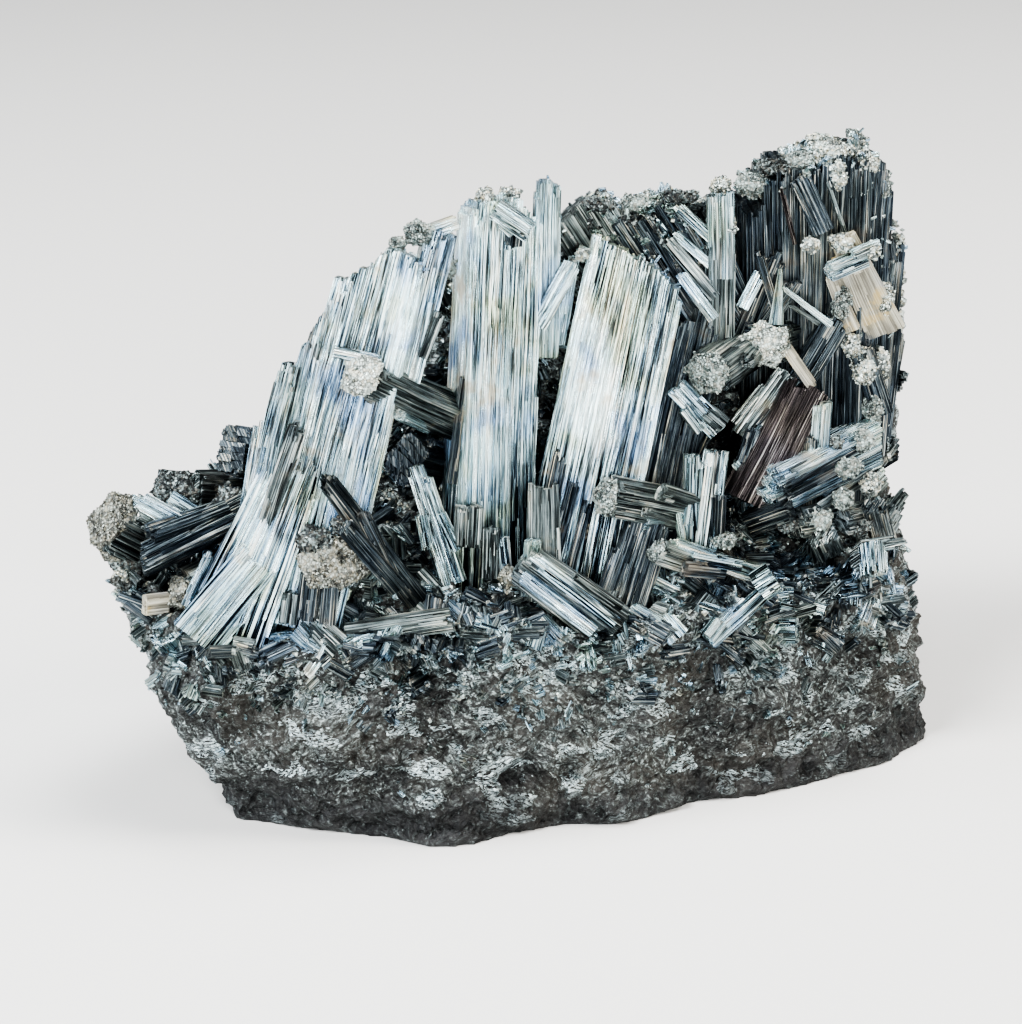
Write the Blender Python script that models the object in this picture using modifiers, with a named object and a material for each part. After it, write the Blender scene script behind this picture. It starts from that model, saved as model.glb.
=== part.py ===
"""Manganite specimen: striated prisms standing in an open vug of massive manganite.

Metres, +Z up. The origin is at the middle of the flat trimmed foot, -Y is the side the vug opens to,
and +X runs along the long side of the rock towards its tall end. Crystals sit in sockets in the rock:
each one is a bundle of flat-faced laths grown side by side, which is how manganite grows.
"""

import random
from typing import NamedTuple

import bmesh
import bpy
from mathutils import Matrix, Vector, noise

MM = 0.001

# The rock
VOXEL = 2.0 * MM
ROCK_FACES = 1900
LUMP_HEIGHT = 2.2 * MM
LUMP_SPACING = 15.0 * MM
LEDGE_HEIGHT = 1.5 * MM
LEDGE_SPACING = 5.0 * MM
SOCKET_GAP = 0.35 * MM
# From the origin of the lists below to the middle of the finished footprint.
TO_MIDDLE = Vector((-0.8, 0.2, 0.0)) * MM

# The laths
GRAIN_SIDES = 5
HEAD_ROUGHNESS = 0.22
ROUND_COVER = 1.1
GROWTH_SCATTER = 0.05
MIN_STEP = 0.7 * MM
GROOVE_DEPTH = 0.09
EDGE_BEVEL = 0.2
ROW_LAP = 1.15
END_SLANT = -0.12
FLAT_ANGLE = 0.002
MERGE = 0.005 * MM

# Corner points of the convex lumps that the rock is made of, in millimetres.
ROCK_LUMPS = {
    "foot": [
        (-38, -23.5, -3), (-10, -29.5, -3), (18, -21.5, -3), (44, -8.5, -3), (62, 4.5, -3), (59, 22, -3),
        (40, 29, -3), (0, 29, -3), (-28, 22, -3), (-38, 4, -3),
        (-57, -13.5, 34), (-51, -20, 30.5), (-40, -25.5, 29), (-22, -26.5, 29), (0, -25, 28), (18, -19, 27),
        (34, -10, 28), (48, -2, 30), (54, 5, 30), (55.5, 20, 33), (40, 28, 36), (0, 28, 34),
        (-26, 20, 34), (-46, 8, 33),
    ],
    "left shoulder": [
        (-56, -13, 31), (-48, -16, 30), (-30, -6, 33), (-26, 6, 40), (-42, 10, 39), (-53, -2, 37),
        (-44, -12, 12), (-34, 10, 10), (-20, 16, 30),
    ],
    "back wall": [
        (-28, 8, 34), (-14, 7, 71), (0, 8, 76), (14, 10, 77), (30, 10, 79), (40, 12, 82),
        (-22, 20, 36), (-6, 20, 64), (12, 24, 68), (34, 27, 72), (46, 24, 76), (44, 10, 30),
        (40, 29, 36), (0, 28, 34),
    ],
    "tall end": [
        (32, 6, 34), (35, 9, 82), (46, 12, 85), (53, 15, 78), (56, 14, 62), (55, 12, 44), (54, 8, 33),
        (40, 28, 38), (42, 27, 72), (52, 25, 62), (54, 22, 36),
    ],
}

# Hollows between the crystals, in millimetres: centre, then half size along X, Y and Z.
POCKETS = [
    ((-11, 2, 50), (5, 7, 16)),
    ((32, 4, 53), (6, 7, 4.5)),
    ((31, 5, 73), (3, 5, 3)),
    ((-6, -13, 33), (4, 4, 3)),
    ((30, -4, 39), (7, 5, 4)),
]


class Crystal(NamedTuple):
    """One bundle of parallel laths. Lengths are millimetres and turn is degrees.

    head is how far across the granular knob on the tip is, or nothing.
    """

    node: str
    root: tuple
    tip: tuple
    width: float
    thickness: float
    turn: float = 0.0
    across: int = 3
    deep: int = 1
    spread: float = 1.0
    crown: float = 0.05
    slope: float = 0.0
    finish: str = "dark"
    head: float = 0.0


CRYSTALS = [
    # The three large crystals, with what is grown together with them.
    Crystal("left_blade_crystal", (-30.5, -20.5, 29), (-16.8, -12.5, 78.4), 15.5, 9, -6, 6, 1, 0.86, 0.03,
            0.07, "bright"),
    Crystal("left_blade_crystal", (-33.5, -18, 34), (-25.2, -15, 66), 6, 7, -20, 3, 1, 0.8, 0.1, 0.12,
            "bright"),
    Crystal("left_blade_crystal", (-38.5, -23, 27.5), (-27, -19, 53), 12, 6, -12, 5, 1, 0.6, 0.1, 0.0,
            "bright"),
    Crystal("left_blade_crystal", (-15.2, -11.5, 54), (-9.9, -8, 79), 4.6, 5.5, 4, 2, 1, 1.0, 0.02, 0.0,
            "bright"),
    Crystal("left_blade_crystal", (-8, -4, 52), (-20.2, -21.6, 63.8), 5, 4.6, 0, 3, 1, 1.0, 0.1, 0.0,
            "crust", 7),
    Crystal("centre_prism_crystal", (-4.3, -7.5, 29), (-2, 0, 82.8), 11, 9.5, 24, 5, 1, 0.88, 0.03, 0.0,
            "bright"),
    Crystal("centre_prism_crystal", (4.2, -0.5, 60), (4.4, 0.5, 84.8), 3.2, 3.4, 10, 2, 1, 1.0, 0.05, 0.0,
            "bright"),
    Crystal("right_blade_crystal", (7.2, -9.5, 28), (17, -0.5, 74.5), 13.8, 8, -4, 6, 1, 0.95, 0.03, -0.06,
            "bright"),
    Crystal("dark_prism_crystal", (17, -2, 29), (25, 4.5, 66), 9, 7, 12, 4, 1, 0.9, 0.1, 0.0, "dark"),
    # The tall end: upright dark bundles with plates and laths on them.
    Crystal("tall_end_crystals", (37, 10, 38), (35.6, 10.5, 84.6), 10, 13, 6, 3, 1, 1.0, 0.04, 0.02, "dark"),
    Crystal("tall_end_crystals", (44, 10, 36), (43.5, 12, 87.6), 10, 14, 0, 4, 1, 1.0, 0.03, 0.0, "dark"),
    Crystal("tall_end_crystals", (47, 12, 40), (47.2, 14, 86.2), 8, 13, 10, 3, 1, 1.0, 0.06, -0.03, "dark"),
    Crystal("tall_end_crystals", (48.8, 13, 42), (50.8, 15, 77.4), 6, 11, 10, 2, 1, 1.0, 0.06, -0.04, "dark"),
    Crystal("upright_lath_crystal", (28.4, 3.2, 57), (27.8, 3.6, 82.3), 3.1, 3, 8, 2, 1, 1.0, 0.02, 0.0,
            "bright"),
    Crystal("tan_plate_crystal", (52.6, 7.4, 60.7), (44.8, 3.6, 75.2), 6, 2.6, -8, 3, 1, 0.9, 0.05, 0.0,
            "tan"),
    Crystal("ridge_crystals", (29, 7, 58), (15.5, 8.5, 79), 12, 8, 0, 4, 1, 1.0, 0.05, 0.0, "dark"),
    Crystal("ridge_crystals", (19, 8, 62), (8, 8.5, 79), 9, 7, 8, 3, 1, 1.0, 0.08, 0.0, "dark"),
    # The left shoulder, from the outer edge inwards.
    Crystal("left_stub_crystal", (-47, -9, 34.5), (-54.9, -14.7, 41.6), 7, 6.4, 0, 3, 1, 1.0, 0.1, 0.0,
            "crust", 8),
    Crystal("left_grain_crystal", (-42, 4, 38), (-46.6, -8.4, 43), 7, 5.6, 0, 3, 1, 1.0, 0.1, 0.0,
            "crust", 7.6),
    Crystal("left_ribbed_crystal", (-30, 2, 43), (-38.8, -6.5, 48.6), 6.4, 5.6, 30, 3, 1, 1.0, 0.04, 0.0,
            "dark"),
    Crystal("left_round_crystal", (-33, -3, 39), (-39, -12, 42.5), 5.4, 5, 0, 3, 1, 1.0, 0.16, 0.0, "crust",
            6.6),
    Crystal("left_long_crystal", (-34, -11.5, 42.5), (-50.6, -19.5, 36.4), 3.8, 3.6, 35, 2, 1, 0.9, 0.04,
            0.0, "dark"),
    Crystal("left_low_crystal", (-33.5, -11, 35.5), (-45.4, -18.2, 31.7), 5, 4.6, 0, 3, 1, 1.0, 0.14, 0.0,
            "crust", 6),
    # In front of the large crystals.
    Crystal("leaning_crystal", (-13.4, -19, 31.5), (-25, -28, 52.6), 3, 2.8, 24, 2, 1, 0.72, 0.03, 0.0,
            "dark"),
    Crystal("left_blade_crystal", (-24.5, -17, 35), (-23.8, -25, 39), 7, 6.4, 0, 3, 1, 1.0, 0.12, 0.0,
            "crust", 9.6),
    Crystal("inner_bright_crystal", (-8.2, -14.5, 32), (-13.4, -10.5, 47.8), 2.8, 2, -20, 2, 1, 0.9, 0.05,
            0.0, "bright"),
    Crystal("inner_ribbed_crystal", (-11.5, -1, 44), (-15, -9.5, 48), 6, 5, 60, 3, 1, 1.0, 0.05, 0.0,
            "dark"),
    Crystal("rim_lath_crystal", (-22.4, -24.4, 28.6), (-8, -24, 30.8), 2.6, 2, 0, 1, 1, 1.0, 0.0, 0.0,
            "crust"),
    Crystal("fan_crystal", (13.4, -18.6, 27), (0.4, -17.4, 36.6), 6.6, 4, -18, 4, 1, 0.85, 0.06, 0.0,
            "bright"),
    Crystal("plate_crystal", (4.2, -15.4, 30), (3.8, -13, 46), 4.6, 2.2, 0, 1, 1, 0.8, 0.0, 0.0, "crust"),
    # Right of the large crystals.
    Crystal("pocket_left_head", (33, 6, 60), (25.8, -4, 58.2), 5.6, 4.8, 0, 3, 1, 1.0, 0.12, 0.0,
            "crust", 7.4),
    Crystal("tall_end_crystals", (38.5, 10, 59.6), (34.2, 0.4, 61.2), 5.6, 5, 0, 3, 1, 1.0, 0.12, 0.0,
            "crust", 7.4),
    Crystal("pocket_lath_crystal", (27.8, -4.4, 50.4), (21.6, -4, 57), 2.4, 2, 0, 2, 1, 1.0, 0.05, 0.0,
            "bright"),
    Crystal("brown_plate_crystal", (32, -4, 40), (40.6, 1, 56.4), 6.4, 4, 10, 4, 1, 1.0, 0.06, 0.0, "brown"),
    Crystal("pocket_white_crystal", (41.8, -0.5, 40), (42.3, -1.2, 54.6), 2.3, 2, 0, 2, 1, 1.0, 0.06, 0.0,
            "bright"),
    Crystal("twin_lath_crystals", (25.6, -10, 32), (27.4, -8.4, 49.6), 3.1, 2.4, -10, 2, 1, 0.95, 0.05, 0.0,
            "bright"),
    Crystal("twin_lath_crystals", (24.2, -9.4, 36), (24.2, -8.6, 48.8), 2.2, 2.2, 12, 1, 1, 0.95, 0.05, 0.0,
            "bright"),
    Crystal("ribbed_bundle_crystal", (50, 5, 46), (34, -6.4, 42), 6.6, 5, -14, 4, 1, 0.85, 0.08, 0.0,
            "bright"),
    Crystal("hooked_crystal", (23.4, -7.4, 40), (11.9, -14.2, 44.6), 4.6, 4, 0, 3, 1, 1.0, 0.1, 0.0,
            "crust", 5.6),
    Crystal("under_hook_crystal", (14.4, -13.6, 28), (18.2, -10, 40), 6, 4, 12, 4, 1, 1.0, 0.08, 0.0,
            "dark"),
    Crystal("long_lath_crystal", (33, -9.8, 31.4), (20.4, -14.4, 37.6), 2, 1.8, 0, 1, 1, 1.0, 0.02, 0.0,
            "bright"),
    Crystal("low_lath_crystal", (26.4, -16, 24), (34.4, -11.8, 30), 1.9, 1.7, 0, 1, 1, 1.0, 0.0, 0.0,
            "bright"),
]

# Short prisms grown on the rock itself, in patches: centre, reach along X, Y and Z, number, length.
DRUSE_PATCHES = [
    ((-48, -15, 33), (6, 4, 2), 5, 5),
    ((-10, -18, 30), (14, 5, 2), 9, 6),
    ((22, -12, 31), (14, 6, 3), 10, 6),
    ((46, -1, 38), (9, 4, 5), 8, 6),
    ((8, 8, 76), (16, 3, 3), 7, 4),
    ((-24, 2, 44), (8, 3, 3), 5, 6),
]
DRUSE_WIDTH = 0.34

FINISHES = {
    "rock": ("#38373A", 0.62, 0.3),
    "dark": ("#34373D", 0.38, 0.7),
    "bright": ("#B9C1C7", 0.3, 0.85),
    "crust": ("#74736E", 0.66, 0.25),
    "brown": ("#54483F", 0.45, 0.5),
    "tan": ("#B5A68C", 0.5, 0.35),
}


def clear_scene():
    for obj in list(bpy.data.objects):
        bpy.data.objects.remove(obj, do_unlink=True)


def collection_named(name):
    made = bpy.data.collections.new(name)
    bpy.context.scene.collection.children.link(made)
    return made


def linear(channel):
    """One sRGB channel, 0 to 1, as linear light."""
    return channel / 12.92 if channel <= 0.04045 else ((channel + 0.055) / 1.055) ** 2.4


def finish_material(name):
    """The Principled material of one finish."""
    code, roughness, metallic = FINISHES[name]
    colour = [linear(int(code[i:i + 2], 16) / 255) for i in (1, 3, 5)]
    made = bpy.data.materials.get(name) or bpy.data.materials.new(name)
    made.use_nodes = True
    shader = made.node_tree.nodes["Principled BSDF"]
    shader.inputs["Base Color"].default_value = (*colour, 1.0)
    shader.inputs["Roughness"].default_value = roughness
    shader.inputs["Metallic"].default_value = metallic
    return made


def object_from(name, shape, collection):
    """A linked object that takes over the bmesh, which is freed."""
    mesh = bpy.data.meshes.new(name)
    shape.to_mesh(mesh)
    shape.free()
    made = bpy.data.objects.new(name, mesh)
    collection.objects.link(made)
    return made


def apply_modifiers(obj):
    """Gives the object its evaluated mesh and drops its modifiers."""
    graph = bpy.context.evaluated_depsgraph_get()
    mesh = bpy.data.meshes.new_from_object(obj.evaluated_get(graph))
    obj.modifiers.clear()
    old = obj.data
    obj.data = mesh
    bpy.data.meshes.remove(old)


def boolean(obj, others, operation):
    """Applies one exact Boolean with all the other objects, which are then removed."""
    group = bpy.data.collections.new("operands")
    for other in others:
        group.objects.link(other)
    modifier = obj.modifiers.new(operation.title(), "BOOLEAN")
    modifier.operation = operation
    modifier.operand_type = "COLLECTION"
    modifier.collection = group
    modifier.solver = "EXACT"
    apply_modifiers(obj)
    for other in others:
        bpy.data.objects.remove(other, do_unlink=True)
    bpy.data.collections.remove(group)


def islands_of(shape):
    """The connected groups of vertices of a bmesh."""
    left, groups = set(shape.verts), []
    while left:
        group, todo = set(), [left.pop()]
        while todo:
            vert = todo.pop()
            group.add(vert)
            near = {edge.other_vert(vert) for edge in vert.link_edges} & left
            left -= near
            todo.extend(near)
        groups.append(group)
    return groups


def clean(obj):
    """Drops loose chips and splits the faces into triangles."""
    shape = bmesh.new()
    shape.from_mesh(obj.data)
    groups = sorted(islands_of(shape), key=len)
    for group in groups[:-1]:
        bmesh.ops.delete(shape, geom=list(group), context="VERTS")
    bmesh.ops.triangulate(shape, faces=shape.faces)
    face_outward(shape)
    shape.to_mesh(obj.data)
    shape.free()


def face_outward(shape):
    """Turns the faces of a closed bmesh to point out of it."""
    bmesh.ops.recalc_face_normals(shape, faces=shape.faces)
    if shape.calc_volume(signed=True) < 0.0:
        bmesh.ops.reverse_faces(shape, faces=shape.faces)


def hull_of(shape, points):
    """Adds the convex hull of the points to a bmesh."""
    verts = [shape.verts.new(point) for point in points]
    made = bmesh.ops.convex_hull(shape, input=verts)
    spare = {item for item in made["geom_interior"] if isinstance(item, bmesh.types.BMVert)}
    bmesh.ops.delete(shape, geom=list(spare), context="VERTS")
    bmesh.ops.recalc_face_normals(shape, faces=shape.faces)


def crystal_frame(crystal):
    """Root, unit vectors across, out of the face and along the axis, and the length."""
    root = Vector(crystal.root) * MM
    along = Vector(crystal.tip) * MM - root
    length = along.length
    along.normalize()
    outward = Vector((0.0, -1.0, 0.0)) if abs(along.y) < 0.75 else Vector((0.0, 0.0, 1.0))
    outward -= along * outward.dot(along)
    outward.normalize()
    outward.rotate(Matrix.Rotation(crystal.turn * 3.14159265 / 180.0, 3, along))
    return root, along.cross(outward), outward, along, length


def lath_edges(crystal, dice):
    """Where one lath ends and the next begins, from the middle of the bundle."""
    steps = [dice.uniform(0.7, 1.3) for _ in range(crystal.across)]
    scale = crystal.width * MM / sum(steps)
    return [sum(steps[:number]) * scale - crystal.width * MM / 2 for number in range(len(steps) + 1)]


def lath_heights(crystal, length, row_share, dice):
    """How tall each lath of one row is; neighbours always differ by a step."""
    heights = []
    for column in range(crystal.across):
        share = 2.0 * (column + 0.5) / crystal.across - 1.0
        radius = share * share + row_share * row_share
        height = length * (1.0 - crystal.crown * radius + crystal.slope * share)
        height -= length * GROWTH_SCATTER * dice.random()
        if heights and abs(height - heights[-1]) < MIN_STEP:
            height = heights[-1] - MIN_STEP
        heights.append(height)
    return heights


def draw_plan(shape, edges, thickness):
    """One face per lath: a row that is grooved where two laths meet along both of its sides."""
    last = len(edges) - 1
    grooves = []
    for number, x in enumerate(edges):
        y = thickness * (0.5 - (EDGE_BEVEL if number in (0, last) else GROOVE_DEPTH))
        grooves.append((shape.verts.new((x, -y, 0.0)), shape.verts.new((x, y, 0.0))))
    plan = []
    for column in range(last):
        x = (edges[column] + edges[column + 1]) / 2
        near = shape.verts.new((x, -thickness / 2, 0.0))
        far = shape.verts.new((x, thickness / 2, 0.0))
        (a, b), (c, d) = grooves[column], grooves[column + 1]
        plan.append(shape.faces.new((a, near, c, d, far, b)))
    return plan


def raise_laths(shape, mark, plan, heights):
    """Raises the faces of a plan together, and leaves each lath behind at its own height."""
    for number, face in enumerate(plan):
        face[mark] = number + 1
    standing, level = list(plan), 0.0
    for number in sorted(range(len(heights)), key=lambda item: heights[item]):
        around = {item for face in standing for item in (*face.edges, *face.verts)}
        raised = bmesh.ops.extrude_face_region(shape, geom=[*standing, *around])
        verts = [item for item in raised["geom"] if isinstance(item, bmesh.types.BMVert)]
        bmesh.ops.translate(shape, verts=verts, vec=(0.0, 0.0, heights[number] - level))
        level = heights[number]
        tops = [item for item in raised["geom"] if isinstance(item, bmesh.types.BMFace)]
        standing = [face for face in tops if face[mark] != number + 1]


def bundle_row(crystal, middle, thickness, row_share, dice):
    """One closed row of laths with a stepped end, standing along the crystal's axis."""
    root, side, face, along, length = crystal_frame(crystal)
    shape = bmesh.new()
    mark = shape.faces.layers.int.new("lath")
    plan = draw_plan(shape, lath_edges(crystal, dice), thickness)
    raise_laths(shape, mark, plan, lath_heights(crystal, length, row_share, dice))
    bmesh.ops.dissolve_limit(shape, verts=shape.verts, edges=shape.edges, angle_limit=FLAT_ANGLE)
    for vert in shape.verts:
        x, y, z = vert.co
        growth = 1.0 + (crystal.spread - 1.0) * z / length
        slope = END_SLANT * y if z > 0.0 else 0.0
        vert.co = root + side * (x * growth) + face * ((middle + y) * growth) + along * (z + slope)
    face_outward(shape)
    return shape


def bundle_rows(crystal, index):
    """The rows of one bundle, each as a closed bmesh."""
    dice = random.Random(f"{crystal.node} {index}")
    pitch = crystal.thickness * MM / crystal.deep
    lap = ROW_LAP if crystal.deep > 1 else 1.0
    rows = []
    for row in range(crystal.deep):
        share = 2.0 * (row + 0.5) / crystal.deep - 1.0
        middle = share * crystal.thickness * MM / 2
        rows.append(bundle_row(crystal, middle, pitch * lap, share, dice))
    if crystal.head:
        rows.append(head_knob(crystal, dice))
    return rows


def head_knob(crystal, dice):
    """The rough granular knob grown over the tip of a crystal."""
    shape = bmesh.new()
    bmesh.ops.create_icosphere(shape, subdivisions=2, radius=crystal.head * MM / 2)
    squash = Vector((1.0, dice.uniform(0.75, 0.95), dice.uniform(0.75, 0.95)))
    tip = Vector(crystal.tip) * MM
    for vert in shape.verts:
        vert.co = tip + vert.co * squash * (1.0 - HEAD_ROUGHNESS * dice.random())
    return shape


def cutter_from(shape):
    """A hidden wire object for a Boolean to cut with."""
    holder = bpy.data.collections.get("cutters") or collection_named("cutters")
    made = object_from("cutter", shape, holder)
    made.hide_render = True
    made.display_type = "WIRE"
    return made


def socket_cutters(members):
    """A slightly larger eight-sided prism round every bundle, which keeps its neighbours clear."""
    cutters = []
    for _, crystal in members:
        root, side, face, along, length = crystal_frame(crystal)
        if crystal.head:
            shape = bmesh.new()
            bmesh.ops.create_icosphere(
                shape, subdivisions=2, radius=crystal.head * MM / 2 * ROUND_COVER + SOCKET_GAP,
                matrix=Matrix.Translation(Vector(crystal.tip) * MM))
            cutters.append(cutter_from(shape))
        half_width = crystal.width * MM / 2 + SOCKET_GAP
        half_depth = crystal.thickness * MM / 2 * (ROW_LAP if crystal.deep > 1 else 1.0) + SOCKET_GAP
        tallest = length * (1.0 + abs(crystal.slope)) + half_depth * abs(END_SLANT) + SOCKET_GAP
        points = []
        for z in (-SOCKET_GAP, tallest):
            growth = 1.0 + (crystal.spread - 1.0) * z / length
            for x, y in ((1.0, 1.0 - 2.0 * EDGE_BEVEL), (1.0 - 0.5 / crystal.across, 1.0)):
                for turn in ((1, 1), (1, -1), (-1, 1), (-1, -1)):
                    across = side * (x * turn[0] * half_width * growth)
                    outward = face * (y * turn[1] * half_depth * growth)
                    points.append(root + across + outward + along * z)
        shape = bmesh.new()
        hull_of(shape, points)
        cutters.append(cutter_from(shape))
    return cutters


def boxes_meet(first, second, margin):
    """Whether the world boxes of two meshes come within a margin of each other."""
    for axis in range(3):
        a = [vert.co[axis] for vert in first.data.vertices]
        b = [vert.co[axis] for vert in second.data.vertices]
        if min(a) > max(b) + margin or min(b) > max(a) + margin:
            return False
    return True


def build_crystals(collection):
    """Every crystal node, each cut clear of the ones made before it."""
    groups = {}
    for index, crystal in enumerate(CRYSTALS):
        groups.setdefault(crystal.node, []).append((index, crystal))
    finished = []
    for name, members in groups.items():
        made, *others = [
            object_from(name, row, collection)
            for index, crystal in members for row in bundle_rows(crystal, index)]
        if others:
            boolean(made, others, "UNION")
        clean(made)
        near = [other for body, group in finished if boxes_meet(made, body, SOCKET_GAP) for other in group]
        if near:
            boolean(made, socket_cutters(near), "DIFFERENCE")
        clean(made)
        made.name = name
        made.data.materials.clear()
        made.data.materials.append(finish_material(members[0][1].finish))
        finished.append((made, members))
    return finished


def weather(point):
    """How far the rock's skin stands out at a point, from lumps and broken ledges."""
    lumps = noise.fractal(point / LUMP_SPACING, 0.9, 2.1, 3) * LUMP_HEIGHT
    stretched = Vector((point.x * 0.6, point.y, point.z * 1.6)) / LEDGE_SPACING
    cells = noise.voronoi(stretched)[0]
    return lumps + (cells[1] - cells[0] - 0.3) * LEDGE_HEIGHT


def rock_body(collection):
    """The rock without its small crystals: joined lumps, hollowed, weathered and broken flat."""
    shape = bmesh.new()
    for corners in ROCK_LUMPS.values():
        hull_of(shape, [Vector(corner) * MM for corner in corners])
    rock = object_from("rock", shape, collection)
    remesh = rock.modifiers.new("Skin", "REMESH")
    remesh.mode = "VOXEL"
    remesh.voxel_size = VOXEL
    apply_modifiers(rock)
    pockets = []
    for centre, half in POCKETS:
        shape = bmesh.new()
        bmesh.ops.create_icosphere(shape, subdivisions=2, radius=MM)
        for vert in shape.verts:
            vert.co = Vector([c * MM + v * h for c, v, h in zip(centre, vert.co, half)])
        pockets.append(cutter_from(shape))
    boolean(rock, pockets, "DIFFERENCE")
    shape = bmesh.new()
    shape.from_mesh(rock.data)
    shape.normal_update()
    moves = [(vert, vert.normal * weather(vert.co)) for vert in shape.verts]
    for vert, move in moves:
        vert.co += move
    shape.to_mesh(rock.data)
    shape.free()
    decimate = rock.modifiers.new("Break", "DECIMATE")
    triangles = sum(len(face.vertices) - 2 for face in rock.data.polygons)
    decimate.ratio = min(1.0, ROCK_FACES / triangles)
    apply_modifiers(rock)
    return rock


def trim_foot(rock):
    """Saws the rock off flat at z = 0, which is what it stands on."""
    shape = bmesh.new()
    shape.from_mesh(rock.data)
    geometry = [*shape.verts, *shape.edges, *shape.faces]
    cut = bmesh.ops.bisect_plane(
        shape, geom=geometry, dist=MERGE, plane_co=(0, 0, 0), plane_no=(0, 0, -1), clear_outer=True)
    rim = [item for item in cut["geom_cut"] if isinstance(item, bmesh.types.BMEdge)]
    bmesh.ops.contextual_create(shape, geom=rim)
    shape.to_mesh(rock.data)
    shape.free()


def add_druse(rock, collection):
    """Grows the patches of short prisms on the rock."""
    dice = random.Random("druse")
    skin_points = [vert.co.copy() for vert in rock.data.vertices]
    grains = []
    for centre, reach, count, length in DRUSE_PATCHES:
        for _ in range(count):
            wanted = Vector([c + r * dice.uniform(-1, 1) for c, r in zip(centre, reach)]) * MM
            spot = min(skin_points, key=lambda point: (point - wanted).length_squared)
            lean = Vector((dice.uniform(-1, 1), dice.uniform(-1, 0.2), dice.uniform(0.1, 1.2)))
            reach_out = lean.normalized() * length * MM * dice.uniform(0.6, 1.1)
            width = length * MM * DRUSE_WIDTH * dice.uniform(0.7, 1.2)
            shape = bmesh.new()
            turn = lean.to_track_quat("Z", "Y").to_matrix().to_4x4()
            place = Matrix.Translation(spot + reach_out * 0.2) @ turn
            bmesh.ops.create_cone(
                shape, cap_ends=True, segments=GRAIN_SIDES, radius1=width / 2, radius2=width * 0.44,
                depth=reach_out.length, matrix=place)
            grains.append(object_from("grain", shape, collection))
    boolean(rock, grains, "UNION")


def build_rock(crystals, collection):
    """The rock, with its small crystals, its sockets and its flat foot."""
    rock = rock_body(collection)
    add_druse(rock, collection)
    members = [member for _, group in crystals for member in group]
    boolean(rock, socket_cutters(members), "DIFFERENCE")
    trim_foot(rock)
    clean(rock)
    rock.name = "matrix_rock"
    rock.data.materials.clear()
    rock.data.materials.append(finish_material("rock"))
    return rock


def main():
    clear_scene()
    collection = collection_named("manganite specimen")
    crystals = build_crystals(collection)
    build_rock(crystals, collection)
    for made in bpy.data.objects:
        made.data.transform(Matrix.Translation(TO_MIDDLE))


main()
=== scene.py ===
"""Looks of a manganite specimen: striated silvery prisms in a vug of dark massive matrix.

Every crystal is a bundle of hair-thin laths grown by one Geometry Nodes tree, every granular knob
and the crust of small crystals come from two more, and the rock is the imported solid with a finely
broken skin. Lengths in the tables are millimetres; the scene is in metres.
"""

import logging
import math
import random
from dataclasses import dataclass, replace
from enum import Enum
from itertools import count
from typing import Any, Iterable

import bmesh
import bpy
import numpy as np
from mathutils import Matrix, Vector
from mathutils.bvhtree import BVHTree

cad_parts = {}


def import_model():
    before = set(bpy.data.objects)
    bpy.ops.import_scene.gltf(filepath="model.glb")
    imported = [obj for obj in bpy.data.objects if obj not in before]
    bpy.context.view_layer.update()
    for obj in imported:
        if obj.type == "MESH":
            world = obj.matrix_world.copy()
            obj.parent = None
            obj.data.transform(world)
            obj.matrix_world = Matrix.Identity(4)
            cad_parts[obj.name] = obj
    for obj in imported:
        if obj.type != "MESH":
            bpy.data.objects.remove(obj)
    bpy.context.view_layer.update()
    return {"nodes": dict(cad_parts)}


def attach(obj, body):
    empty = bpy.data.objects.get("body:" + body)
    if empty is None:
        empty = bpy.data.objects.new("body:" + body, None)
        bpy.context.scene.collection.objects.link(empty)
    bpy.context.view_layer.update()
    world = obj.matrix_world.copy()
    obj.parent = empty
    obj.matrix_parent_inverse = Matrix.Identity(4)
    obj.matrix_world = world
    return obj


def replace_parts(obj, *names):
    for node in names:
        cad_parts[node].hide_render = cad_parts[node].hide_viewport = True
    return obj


LOG = logging.getLogger("manganite")
MM = 0.001
PER_SQUARE_CM = 1e4
# Depths of laths below this are metres, those above it are shares of the prism's depth.
THIN = 0.01
# Width from which a bundle counts as a blade, in millimetres.
BROAD = 8
# How far in front of the rock a ray starts that looks for a place on it, in metres.
CAST_FROM = 0.09
# First random seeds of what grows, and the steps between groups, bundles and their laths.
CREST_SEED, PIECE_SEED, LUMP_SEED, THICKET_SEED, DETAIL_SEED = 40, 100, 300, 700, 9000
PIECE_STEP, THICKET_STEP, BUNDLE_STEP, LATH_STEP = 101, 1000, 17, 5
# Edge of a voxel of the rock's skin in millimetres, and how often the skin is smoothed.
VOXEL, SMOOTHINGS = 0.62, 4
BODY = "root"
ROCK_NODE = "matrix_rock"
# From the origin of the tables below to the middle of the footprint.
TO_MIDDLE = Vector((-0.8, 0.2, 0.0)) * MM
# The middle of a noise colour or of a random cell colour, taken off to get a direction.
GREY_POINT = (0.5, 0.5, 0.5)
# Near black of the painted shade in the gaps between laths.
GROOVE_SHADE_BLACK = "#07080A"
Colour = tuple[float, float, float, float]
Triple = tuple[float, float, float]


class Slot(Enum):
    """Material slots of the record."""

    ROCK = "rock"
    DARK = "dark"
    BRIGHT = "bright"
    CRUST = "crust"
    BROWN = "brown"
    TAN = "tan"


class Coat(Enum):
    """Kinds of granular crust."""

    PALE = "pale"
    GREY = "grey"
    DARK = "dark"
    TAN = "tan"
    SMOOTH = "smooth"


# ---- small helpers


def linear(code: str) -> Colour:
    """Turns an sRGB hex code such as "#7F8A90" into linear red, green, blue and alpha."""
    parts = [int(code[i:i + 2], 16) / 255 for i in (1, 3, 5)]
    light = [p / 12.92 if p <= 0.04045 else ((p + 0.055) / 1.055) ** 2.4 for p in parts]
    return light[0], light[1], light[2], 1.0


def per(size: float) -> float:
    """Pattern scale that gives features of a size in millimetres."""
    return 1.0 / (size * MM)


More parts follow.
